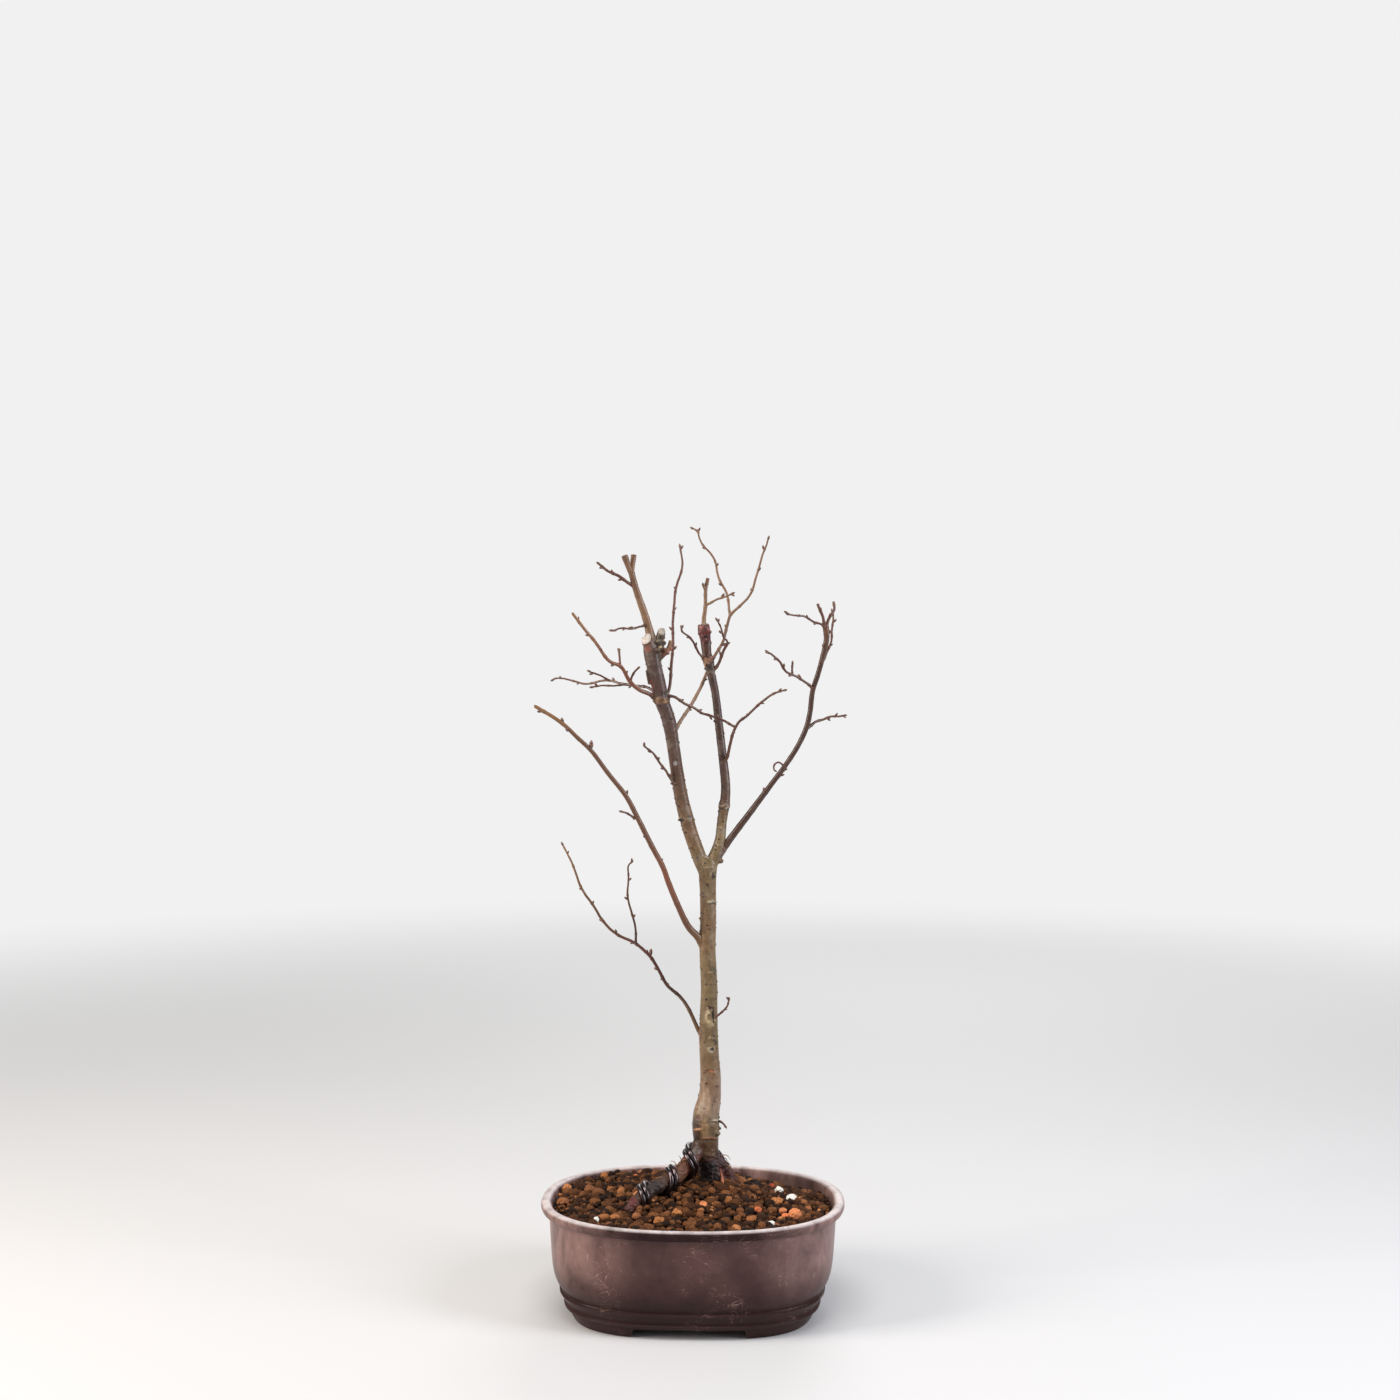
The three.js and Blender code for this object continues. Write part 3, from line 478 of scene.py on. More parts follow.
def face_outwards(obj: Object) -> None:
    """Merges doubled points and turns all faces outwards."""
    pick(obj)
    bpy.ops.object.mode_set(mode="EDIT")
    bpy.ops.mesh.select_all(action="SELECT")
    bpy.ops.mesh.remove_doubles(threshold=0.000002)
    bpy.ops.mesh.normals_make_consistent(inside=False)
    bpy.ops.object.mode_set(mode="OBJECT")


def dress(obj: Object, material: Material) -> None:
    """Gives the object that one material."""
    obj.data.materials.clear()
    obj.data.materials.append(material)


def set_out(
    obj: Object, material: Material, angle: float | None, slot: str, *nodes: str
) -> None:
    """Shades and dresses a finished piece, puts it on the frame and reports it.

    Args:
        obj: The piece.
        material: Its finish.
        angle: How sharp an edge must be, in degrees, to stay sharp, or None where none does.
        slot: The record's material slot for its finish; it is not used.
        nodes: The CAD nodes that it stands for.
    """
    pick(obj)
    if angle is None:
        bpy.ops.object.shade_smooth()
    else:
        bpy.ops.object.shade_smooth_by_angle(angle=math.radians(angle))
    dress(obj, material)
    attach(obj, "root")
    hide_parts(*nodes)
    triangles = sum(len(face.vertices) - 2 for face in obj.data.polygons)
    log.info("%s: %d triangles, stands for %s", obj.name, triangles, ", ".join(nodes))


def loft(name: str, levels: list[tuple[float, float]], segments: int) -> Object:
    """Extrudes a circle level by level into a closed round body.

    Args:
        name: The new object's name.
        levels: Radius and height of each level, in millimetres.
        segments: The number of sides.

    Returns:
        The closed body, still round.
    """
    deselect_all()
    first_radius, first_height = levels[0]
    bpy.ops.mesh.primitive_circle_add(
        vertices=segments, radius=first_radius * MM, fill_type="NGON", location=(0, 0, first_height * MM)
    )
    obj = bpy.context.object
    obj.name = name
    bake_place(obj)
    bpy.ops.object.mode_set(mode="EDIT")
    bpy.ops.mesh.select_all(action="SELECT")
    bpy.ops.mesh.select_mode(type="EDGE")
    bpy.ops.mesh.region_to_loop()
    radius, height = first_radius, first_height
    for next_radius, next_height in levels[1:]:
        bpy.ops.mesh.extrude_edges_move(
            TRANSFORM_OT_translate={"value": (0, 0, (next_height - height) * MM)}
        )
        share = next_radius / radius
        bpy.ops.transform.resize(value=(share, share, 1), center_override=(0, 0, next_height * MM))
        radius, height = next_radius, next_height
    bpy.ops.mesh.edge_face_add()
    bpy.ops.mesh.select_mode(type="VERT")
    bpy.ops.object.mode_set(mode="OBJECT")
    return obj


def mesh_of(line: Curve) -> Object:
    """Makes a curve an object and turns it to a mesh."""
    obj = bpy.data.objects.new(line.name, line)
    bpy.context.scene.collection.objects.link(obj)
    pick(obj)
    bpy.ops.object.convert(target="MESH")
    return bpy.context.object


def rows_of(obj: Object, what: str) -> np.ndarray:
    """Returns the place, "co", in metres, or the "normal" of each of the object's corners, in rows."""
    flat = np.empty(len(obj.data.vertices) * 3)
    obj.data.vertices.foreach_get(what, flat)
    return flat.reshape(-1, 3)


def move_corners(obj: Object, points: np.ndarray) -> None:
    """Moves the object's corners to places in millimetres, given in rows."""
    obj.data.vertices.foreach_set("co", (points * MM).ravel())
    obj.data.update()


def take_apart(pattern: Object) -> tuple[np.ndarray, np.ndarray]:
    """Takes the corners, in metres, and the faces from a pattern, and removes it."""
    corners = rows_of(pattern, "co")
    faces = np.array([list(face.vertices) for face in pattern.data.polygons])
    bpy.data.objects.remove(pattern)
    return corners, faces


def search_tree(points: list[Vector]) -> kdtree.KDTree:
    """Makes points quick to search by place."""
    tree = kdtree.KDTree(len(points))
    for i, point in enumerate(points):
        tree.insert(point, i)
    tree.balance()
    return tree


def lengths_along(points: list[Vector]) -> np.ndarray:
    """Returns the length of a line from its start to each of its points."""
    return np.concatenate([[0.0], np.cumsum([(b - a).length for a, b in zip(points, points[1:])])])


def store_colour(obj: Object, name: str, colours: np.ndarray) -> None:
    """Keeps one colour per corner in a named attribute.

    Args:
        obj: The object.
        name: The attribute's name.
        colours: Linear red, green and blue, one row per corner.
    """
    layer = obj.data.color_attributes.new(name, "FLOAT_COLOR", "POINT")
    rows = np.ones((len(colours), 4))
    rows[:, :3] = colours
    layer.data.foreach_set("color", rows.ravel())


@dataclass
class Copies:
    """Copies of small patterns, gathered to be joined as one object."""

    points: list[np.ndarray] = field(default_factory=list)
    faces: list[np.ndarray] = field(default_factory=list)
    colours: list[np.ndarray] = field(default_factory=list)
    corners: int = 0

    def add(self, points: np.ndarray, faces: np.ndarray, colour: np.ndarray | None = None) -> None:
        """Adds one copy.

        Args:
            points: Its corners in millimetres, in rows.
            faces: Its faces, as rows of equal length.
            colour: Its linear red, green and blue, or None where no colour is kept.
        """
        self.points.append(points)
        self.faces.append(faces + self.corners)
        self.corners += len(points)
        if colour is not None:
            self.colours.append(np.tile(colour, (len(points), 1)))

    def joined(self, name: str, colour_name: str = "") -> Object:
        """Joins the copies.

        Args:
            name: The new object's name.
            colour_name: The attribute that keeps their colours.

        Returns:
            One object that holds them all.
        """
        data = bpy.data.meshes.new(name)
        rows = np.concatenate(self.points) * MM
        data.from_pydata(rows.tolist(), [], np.concatenate(self.faces).tolist())
        obj = bpy.data.objects.new(name, data)
        bpy.context.scene.collection.objects.link(obj)
        if self.colours:
            store_colour(obj, colour_name, np.concatenate(self.colours))
        return obj


# The oval of the pot


@dataclass(frozen=True)
class Oval:
    """The pot's plan: a rounded oval that is squarer and a little deeper towards the foot."""

    height: float = 75.0
    rim_half_width: float = 105.0
    rim_half_depth: float = 79.0
    foot_half_width: float = 84.0
    foot_half_depth: float = 65.0
    rim_roundness: float = 2.35
    foot_roundness: float = 3.0

    def roundness(self, z: float) -> float:
        """Returns the oval's exponent at a height in millimetres."""
        climb = z / self.height
        return self.foot_roundness + (self.rim_roundness - self.foot_roundness) * climb

    def depth_share(self, z: float) -> float:
        """Returns the depth of the oval as a share of its width at a height in millimetres."""
        foot = self.foot_half_depth / self.foot_half_width
        rim = self.rim_half_depth / self.rim_half_width
        return foot + (rim - foot) * z / self.height

    def place(self, half_width: float, angle: float, z: float) -> tuple[float, float]:
        """Finds a point of the oval.

        Args:
            half_width: The oval's half width, in millimetres.
            angle: The direction from the middle, in radians.
            z: The height, in millimetres.

        Returns:
            X and Y in millimetres.
        """
        power = 2 / self.roundness(z)
        across, back = math.cos(angle), math.sin(angle)
        x = half_width * math.copysign(abs(across) ** power, across)
        y = half_width * self.depth_share(z) * math.copysign(abs(back) ** power, back)
        return x, y

    def holds(self, x: float, y: float, z: float, half_width: float) -> bool:
        """Tells if a point lies within the oval of that half width."""
        power = self.roundness(z)
        depth = half_width * self.depth_share(z)
        return (abs(x) / half_width) ** power + (abs(y) / depth) ** power < 1

    def shape(self, obj: Object) -> None:
        """Presses a round loft into the oval."""
        for corner in obj.data.vertices:
            x, y, z = corner.co / MM
            radius = math.hypot(x, y)
            if radius > 0.01:
                placed_x, placed_y = self.place(radius, math.atan2(y, x), z)
                corner.co = Vector((placed_x, placed_y, z)) * MM


OVAL = Oval()


@dataclass
class Pot:
    """The moulded oval training pot: rolled rim, two low ledges and a foot skirt with cut-outs."""

    segments: int = 176
    gap_height: float = 6.3
    front_gap_half: float = 36.5
    end_gap_half: float = 22.0
    gap_slant: float = 2.5
    drain_radius: float = 9.0
    drain_x: float = 42.0

    def levels(self) -> list[tuple[float, float]]:
        """Gives the wall's section.

        Returns:
            Half widths and heights from the underside's middle, round the outside, to the floor's
            middle.
        """
        underside = [(4, 7), (30, 7), (60, 7), (78, 7), (78.8, 6.6), (78.9, 6), (78.4, 0.4), (78.8, 0)]
        skirt = [(81.4, 0), (82.3, 0.3), (82.9, 1.2), (84.4, 3.8), (85.6, 6.0), (85.9, 6.9)]
        low_ledge = [(86.3, 7.4), (87.6, 7.9), (88.3, 8.5), (88.5, 9.1), (88.1, 9.6), (87.4, 9.9), (87, 10.3)]
        band = [(87.2, 10.9), (88.2, 12.2), (89.6, 14.6), (90.8, 16.3), (91.5, 16.9), (91.6, 17.5)]
        wall = [
            (91.1, 17.9), (90.2, 18.1), (89.9, 18.6), (90.6, 20.2), (92.2, 22.4), (93.7, 24.6), (94.8, 27),
            (95.7, 30), (96.4, 33.4), (96.9, 37), (97.4, 42), (98, 49), (98.5, 56), (98.9, 62),
            (99.1, 65.4),
        ]
        rim = [
            (99.2, 66.6), (99.5, 67.1), (100.2, 67.5), (101.4, 67.9), (102.8, 68.6), (103.8, 69.5),
            (104.5, 70.6), (104.9, 71.8), (105, 72.8), (104.8, 73.6), (104.3, 74.3), (103.4, 74.75),
            (102.2, 74.98), (100.6, 74.9), (99.2, 74.5), (98.2, 73.8), (97.6, 72.8), (97.3, 71.5),
        ]
        inside = [
            (97, 69), (96.6, 65), (96.1, 55), (95.4, 45), (94.6, 36), (93.6, 30), (92, 25), (89.6, 19.6),
            (86.4, 15), (83, 11.8), (78, 10), (60, 10), (30, 10), (4, 10),
        ]
        return [*underside, *skirt, *low_ledge, *band, *wall, *rim, *inside]

    def foot_gap(self, half: float, length: float, turned: bool) -> Object:
        """Models the cutter of one pair of cut-outs in the foot.

        Args:
            half: Half the cut-out's width at its top, in millimetres.
            length: How far the cutter reaches, in millimetres.
            turned: Whether it runs from side to side.

        Returns:
            The cutter.
        """
        deselect_all()
        bpy.ops.mesh.primitive_cube_add(size=1, location=(0, 0, (self.gap_height - 1) / 2 * MM))
        cutter = bpy.context.object
        cutter.scale = (2 * half * MM, length * MM, (self.gap_height + 1) * MM)
        bake_place(cutter)
        bpy.ops.object.mode_set(mode="EDIT")
        shape = bmesh.from_edit_mesh(cutter.data)
        for corner in shape.verts:
            corner.select_set(corner.co.z < 0)
        shape.select_flush(True)
        bmesh.update_edit_mesh(cutter.data)
        wide = (half + self.gap_slant) / half
        bpy.ops.transform.resize(value=(wide, 1, 1), center_override=(0, 0, 0))
        bpy.ops.object.mode_set(mode="OBJECT")
        modify(cutter, "BEVEL", width=0.0009, segments=3, limit_method="ANGLE", angle_limit=1.0)
        if turned:
            cutter.rotation_euler = (0, 0, math.pi / 2)
            bake_place(cutter)
        return cutter

    def drain_hole(self, x: float) -> Object:
        """Models the cutter of one drainage hole.

        Args:
            x: The hole's place across the pot, in millimetres.

        Returns:
            The cutter.
        """
        levels = [(self.drain_radius, 4), (self.drain_radius, 9.2), (self.drain_radius + 1.2, 10.6)]
        cutter = loft("drain_cutter", levels, 48)
        cutter.location = (x * MM, 0, 0)
        bake_place(cutter)
        return cutter

    def build(self, material: Material) -> None:
        """Builds the pot and puts it in the pot's place.

        Args:
            material: The finish of its plastic.
        """
        body = loft("training_pot", self.levels(), self.segments)
        OVAL.shape(body)
        face_outwards(body)
        cutters = [
            self.foot_gap(self.front_gap_half, 3 * OVAL.rim_half_depth, False),
            self.foot_gap(self.end_gap_half, 3 * OVAL.rim_half_width, True),
            self.drain_hole(-self.drain_x),
            self.drain_hole(self.drain_x),
        ]
        for cutter in cutters:
            face_outwards(cutter)
            modify(body, "BOOLEAN", object=cutter, operation="DIFFERENCE", solver="EXACT")
            bpy.data.objects.remove(cutter)
        set_out(body, material, 34, "pot", "pot")


# The tree's limbs


@dataclass(frozen=True)
class FrontView:
    """The front from which the tree was styled, which its branches are measured from."""

    eye_distance: float = 1141.0
    eye_height: float = 420.0
    eye_across: float = 4.9
    turn: float = 2.1

    def place(self, across: float, up: float, depth: float) -> Vector:
        """Finds a point of the tree.

        Args:
            across: Millimetres to the right, seen from the front.
            up: Millimetres above the table, seen from the front.
            depth: Millimetres behind the pot's middle, along the line of sight.

        Returns:
            The point in millimetres.
        """
        reach = (self.eye_distance + depth) / self.eye_distance
        x = self.eye_across + (across - self.eye_across) * reach
        z = self.eye_height + (up - self.eye_height) * reach
        turn = math.radians(self.turn)
        return Vector(
            (x * math.cos(turn) - depth * math.sin(turn), x * math.sin(turn) + depth * math.cos(turn), z)
        )

    def seen(self, points: np.ndarray) -> np.ndarray:
        """Gives points as the front shows them.

        Args:
            points: Points in millimetres, one row each.

        Returns:
            Across, up and depth of each point.
        """
        turn = math.radians(self.turn)
        x = points[:, 0] * math.cos(turn) + points[:, 1] * math.sin(turn)
        depth = points[:, 1] * math.cos(turn) - points[:, 0] * math.sin(turn)
        reach = (self.eye_distance + depth) / self.eye_distance
        across = self.eye_across + (x - self.eye_across) / reach
        up = self.eye_height + (points[:, 2] - self.eye_height) / reach
        return np.stack([across, up, depth], axis=1)


FRONT = FrontView()


class Tone(Enum):
    """The bark's named colours, from the foot of the tree to its tips."""

    WET_FOOT = "#1f1413"
    FOOT = "#4e382c"
    OLIVE = "#69573b"
    WARM_OLIVE = "#6b5239"
    LILAC_OLIVE = "#88705c"
    GREY_PURPLE = "#463530"
    BROWN = "#5b3e2c"
    RED_BROWN = "#6e412e"
    DARK_RED = "#4f2b25"
    DARK_BROWN = "#3d2a22"
    TAN = "#745842"
    OLIVE_TAN = "#7d5c3d"
    ROOT = "#432a20"
    RED_ROOT = "#451f1b"
    ORANGE_ROOT = "#b8714a"
    STUB = "#3c3024"
    CUT = "#d6c8b6"
    MAROON = "#522826"


@dataclass(frozen=True)
class Sample:
    """One point along a limb, in millimetres, with what the limb is like there."""

    point: Vector
    tangent: Vector
    radius: float
    colour: tuple[float, float, float]


@dataclass(frozen=True)
class Limb:
    """A root, stem, branch or twig: stations of across, up, depth and radius, and its tones."""

    stations: tuple[Station, ...]
    tones: tuple[Tone, ...]
    budding: bool = False
    cut: bool = False

    def collar(self) -> "Limb":
        """Returns the limb's short thick foot, which grows together with the wood that carries it."""
        foot, neck = self.stations[0], self.stations[1]
        return Limb(((*foot[:3], foot[3] * 1.22), (*neck[:3], neck[3] * 1.03)), self.tones[:1] * 2)

    def spine(self, share: float) -> Vector:
        """Finds a point of the limb's smooth line.

        Args:
            share: How far along its spans, from 0 at the foot to 1 at the tip.

        Returns:
            The point in millimetres.
        """
        # A centripetal spline: it takes uneven stations without loops or overshoot.
        points = [FRONT.place(*station[:3]) for station in self.stations]
        last = len(points) - 1
        along = min(max(share, 0.0), 1.0) * last
        i = min(int(along), last - 1)
        before = points[i - 1] if i > 0 else 2 * points[0] - points[1]
        after = points[i + 2] if i + 2 <= last else 2 * points[last] - points[last - 1]
        pairs = ((before, points[i]), (points[i], points[i + 1]), (points[i + 1], after))
        knots = [max((b - a).length ** 0.5, 0.001) for a, b in pairs]
        start, end = points[i], points[i + 1]
        level = (end - start) / knots[1]
        lean_in = (start - before) / knots[0] - (end - before) / (knots[0] + knots[1]) + level
        lean_out = level - (after - start) / (knots[1] + knots[2]) + (after - end) / knots[2]
        lean_in, lean_out = lean_in * knots[1], lean_out * knots[1]
        t = along - i
        square = 3 * (end - start) - 2 * lean_in - lean_out
        cube = 2 * (start - end) + lean_in + lean_out
        return start + lean_in * t + square * t * t + cube * t * t * t

    def samples(self, spacing: float) -> list[Sample]:
        """Walks along the limb.

        Args:
            spacing: The step, in millimetres.

        Returns:
            A sample about every step, from foot to tip.
        """
        fine = [self.spine(i / 240) for i in range(241)]
        lengths = lengths_along(fine)
        count = max(int(lengths[-1] / spacing), 4)
        shares = np.interp(np.linspace(0, lengths[-1], count + 1), lengths, np.linspace(0, 1, 241))
        points = [self.spine(share) for share in shares]
        spans = len(self.stations) - 1
        radii = [station[3] for station in self.stations]
        tones = np.array([linear_from_hex(tone.value)[:3] for tone in self.tones])
        result = []
        for i, (share, point) in enumerate(zip(shares, points)):
            tangent = (points[min(i + 1, count)] - points[max(i - 1, 0)]).normalized()
            radius = float(np.interp(share * spans, range(spans + 1), radii))
            at = share * (len(tones) - 1)
            colour = tuple(float(np.interp(at, range(len(tones)), tones[:, c])) for c in range(3))
            result.append(Sample(point, tangent, radius, colour))
        return result


TWIG_TONES = (Tone.BROWN, Tone.DARK_RED, Tone.BROWN)


def limb(
    *stations: Station, tones: tuple[Tone, ...] = TWIG_TONES, budding: bool = False, cut: bool = False
) -> Limb:
    """Makes a limb.

    Args:
        stations: Its across, up, depth and radius from foot to tip, in millimetres.
        tones: Its colours from foot to tip.
        budding: Whether it carries buds.
        cut: Whether its end is cut off.

    Returns:
        The limb.
    """
    return Limb(stations, tones, budding, cut)


# Branches and twigs carry buds.
twig = partial(limb, budding=True)

TRUNK_TONES = (
    Tone.WET_FOOT, Tone.WET_FOOT, Tone.WET_FOOT, Tone.FOOT, Tone.OLIVE, Tone.LILAC_OLIVE, Tone.WARM_OLIVE,
    Tone.OLIVE, Tone.OLIVE, Tone.WARM_OLIVE, Tone.OLIVE, Tone.OLIVE,
)
DARK_TWIG = (Tone.DARK_BROWN, Tone.BROWN, Tone.DARK_RED)
TAN_TWIG = (Tone.TAN, Tone.TAN, Tone.BROWN)

TRUNK = limb(
    (15, 57, 22, 8), (15, 70, 22, 10), (14.8, 80, 22, 10.8), (14.2, 88, 22, 10), (12.4, 96, 21.5, 8.4),
    (10.8, 103, 21, 7.6), (9.6, 110, 21, 8.4), (9, 117.5, 20.5, 9.2), (9, 125, 20, 9.7),
    (9.4, 133, 20, 9.4), (11.2, 141, 20, 8.2), (12.2, 149, 20, 7.5), (12, 161, 20, 7.2), (11.2, 176, 20, 7),
    (10.9, 192, 20, 6.6), (11.2, 209, 20, 6.2), (11, 227, 19.5, 5.9), (10.1, 248, 19.5, 5.9),
    (10.6, 268, 19, 5.7), (10.4, 288, 18.5, 5.9), (10.2, 299, 18, 6.4), (10.2, 306, 18, 6.9),
    (10.6, 311, 18, 5.4),
    tones=TRUNK_TONES,
)
LEFT_LEADER = limb(
    (9, 299, 18, 4.6), (5.6, 307.5, 18, 5.2), (2.6, 316, 17.5, 5.1), (-1, 326, 17, 5),
    (-4.6, 338, 15.5, 5.1), (-8.6, 355, 13, 5), (-11.6, 373, 10, 4.5), (-13.6, 387, 8, 4.5),
    (-15.8, 401, 6, 4.7), (-18.4, 411, 4.5, 4.9), (-21, 417.5, 4, 5.2), (-24, 431, 2, 5.2),
    (-27, 444, 0.5, 5.5), (-28.6, 453, 0, 5.8), (-29.4, 460, -0.5, 5.2), (-29.8, 464, -0.5, 3.6),
    tones=(Tone.OLIVE, Tone.WARM_OLIVE, Tone.FOOT, Tone.GREY_PURPLE, Tone.GREY_PURPLE, Tone.DARK_BROWN),
)
MIDDLE_LEADER = limb(
    (11.5, 303, 18, 4.4), (14.6, 310, 18, 4.6), (17.6, 318, 18.5, 4.2), (19.2, 325, 19, 3.7),
    (20, 334, 20, 3.4), (21, 341, 21, 3.5), (21.7, 346.5, 21.5, 4.1), (22.4, 351, 22, 3.5),
    (22.8, 360, 22.5, 3.3), (21, 379, 24, 3.1), (18.4, 400, 26, 3), (15.6, 425, 28, 2.9),
    (12.4, 440, 29, 3.1), (11, 446.5, 29.5, 4.2), (9.8, 452, 30, 3.4), (8.7, 462, 30.5, 3.7),
    (7.8, 468.4, 31, 4.6), (7.2, 472.8, 31, 4),
    tones=(Tone.OLIVE, Tone.OLIVE, Tone.FOOT, Tone.GREY_PURPLE, Tone.DARK_BROWN, Tone.MAROON),
)
RIGHT_BRANCH = twig(
    (16.6, 310.6, 18, 2.6), (21.8, 317.6, 18.5, 2.6), (27.4, 325.4, 18.5, 2.45), (37, 338, 18, 2.3),
    (46, 350, 17, 2.1), (55, 362, 16, 1.9), (64, 374, 14, 1.8), (73, 388, 12, 1.8), (79, 401, 10, 1.85),
    (81.5, 412, 8.5, 1.8), (83.2, 426, 7, 1.8), (87, 438, 6, 1.8), (91, 453, 5, 1.85), (93, 463, 4, 2),
    (92.4, 471, 3.4, 2.3),
    tones=(Tone.FOOT, Tone.DARK_BROWN, Tone.DARK_BROWN, Tone.DARK_BROWN, Tone.DARK_BROWN, Tone.BROWN),
)
LEFT_BRANCH = twig(
    (9, 246, 19.5, 3), (4, 254.5, 17, 2.7), (-3, 262, 13.5, 2.3), (-10, 276, 9, 2.1), (-17, 293, 4.5, 2),
    (-21, 304, 2, 1.9), (-29, 319, -1.5, 1.9), (-38, 337, -5.5, 1.8), (-46.5, 353, -9, 1.7),
    (-59, 369, -12, 1.6), (-71, 385, -14.5, 1.55), (-80.5, 394, -16.5, 1.5), (-90, 403, -18.5, 1.4),
    (-110, 416, -21, 1.25),
    tones=(Tone.WARM_OLIVE, Tone.BROWN, Tone.RED_BROWN, Tone.BROWN, Tone.BROWN, Tone.BROWN, Tone.OLIVE_TAN),
)
LOWER_BRANCH = twig(
    (8.5, 182, 20, 1.8), (4, 190, 22.5, 1.5), (-3, 205, 27, 1.3), (-9, 213.5, 30, 1.25),
    (-18, 222, 33, 1.2), (-24, 232, 35.5, 1.15), (-30, 242, 38, 1.2), (-39, 250, 41, 1.15),
    (-52, 256.5, 44.5, 1.05), (-64, 268, 48, 0.95), (-70, 278, 50, 0.95), (-79, 292, 52, 0.85),
    (-85, 309, 53.5, 0.75), (-91.5, 320.5, 54.5, 0.6),
    tones=(Tone.WARM_OLIVE, Tone.DARK_BROWN, Tone.DARK_RED, Tone.BROWN, Tone.OLIVE_TAN),
)
WIRED_ROOT = limb(
    (7.5, 112, 20, 5.6), (3, 107, 17, 5.4), (-0.5, 101.5, 13, 5.4), (-6.5, 94, 8, 5.3), (-14, 87.5, 2, 5.2),
    (-23.5, 82.3, -5, 5), (-33.5, 75.5, -12, 5), (-41, 69, -18, 4.6), (-46, 63, -22, 3.4),
    tones=(Tone.ROOT, Tone.ROOT, Tone.RED_BROWN, Tone.BROWN, Tone.WET_FOOT, Tone.ROOT, Tone.RED_ROOT),
)
RIGHT_ROOT = limb(
    (12, 106, 21, 4.4), (17, 100, 21.5, 4.8), (22, 93.4, 21, 4.4), (26, 87, 20, 3.9), (30, 79, 19, 3.4),
    (33.6, 70, 18, 2.6),
    tones=(Tone.WET_FOOT, Tone.RED_ROOT, Tone.ROOT),
)
BACK_ROOT = limb(
    (10, 100, 24, 4.4), (6, 94, 32, 4.4), (2.6, 88, 38.5, 4.2), (-1, 82, 44, 3.6), (-4, 75, 49, 2.8),
    tones=(Tone.ROOT, Tone.ROOT),
)
THIN_ROOT = limb(
    (18.6, 95, 18, 0.9), (20, 89, 13.4, 0.9), (20.8, 84, 10, 0.9), (21, 80, 8, 0.8), (22.2, 73, 6, 0.7),
    tones=(Tone.RED_ROOT, Tone.ORANGE_ROOT, Tone.ORANGE_ROOT),
)

# Stubs, knots and thick shoots that grow out of the leaders.
STUBS = {
    "left_shoot": limb(
        (-28, 458, -0.5, 3.1), (-31, 471, -1, 2.8), (-34, 481, -2, 2.65), (-37.2, 490, -4, 2.45),
        (-40.2, 499, -6, 2.3), (-43, 510, -8, 2.2),
        tones=TAN_TWIG,
    ),
    "cut_stub": limb(
        (-26, 448, 0, 3.2), (-24.6, 458, -1.4, 3.1), (-22.6, 464, -2, 3), (-21.9, 467.6, -2, 2.7),
        (-21.6, 470, -2, 1.9),
        tones=(Tone.STUB, Tone.STUB),
    ),
    "pale_stub": limb(
        (-28, 452, -1, 4.4), (-30.6, 458.5, -3, 4.2), (-33.2, 464, -4.6, 3.6),
        tones=(Tone.DARK_BROWN, Tone.BROWN),
    ),
    "knots": limb(
        (-24, 449, 1, 2.6), (-20.6, 452, 0.6, 2.2), (-18, 454, 1, 1.9), (-16.4, 457.4, 2, 1.5),
        (-15.8, 461.5, 3.4, 1.1),
        tones=(Tone.STUB, Tone.RED_BROWN, Tone.OLIVE_TAN),
    ),
    "bark_flap": limb(
        (-29.6, 431, -0.6, 1.6), (-31.4, 436, -1, 1.1), (-32.6, 440.8, -1.2, 0.7),
        tones=(Tone.DARK_BROWN, Tone.DARK_BROWN),
    ),
    "middle_shoot": limb(
        (7.6, 466, 31, 1.9), (7.6, 476, 31.4, 1.55), (8.8, 486.5, 32, 1.35), (8.8, 497, 33, 1.25),
        (10.5, 504.6, 34, 1.3),
        tones=TAN_TWIG,
    ),
}

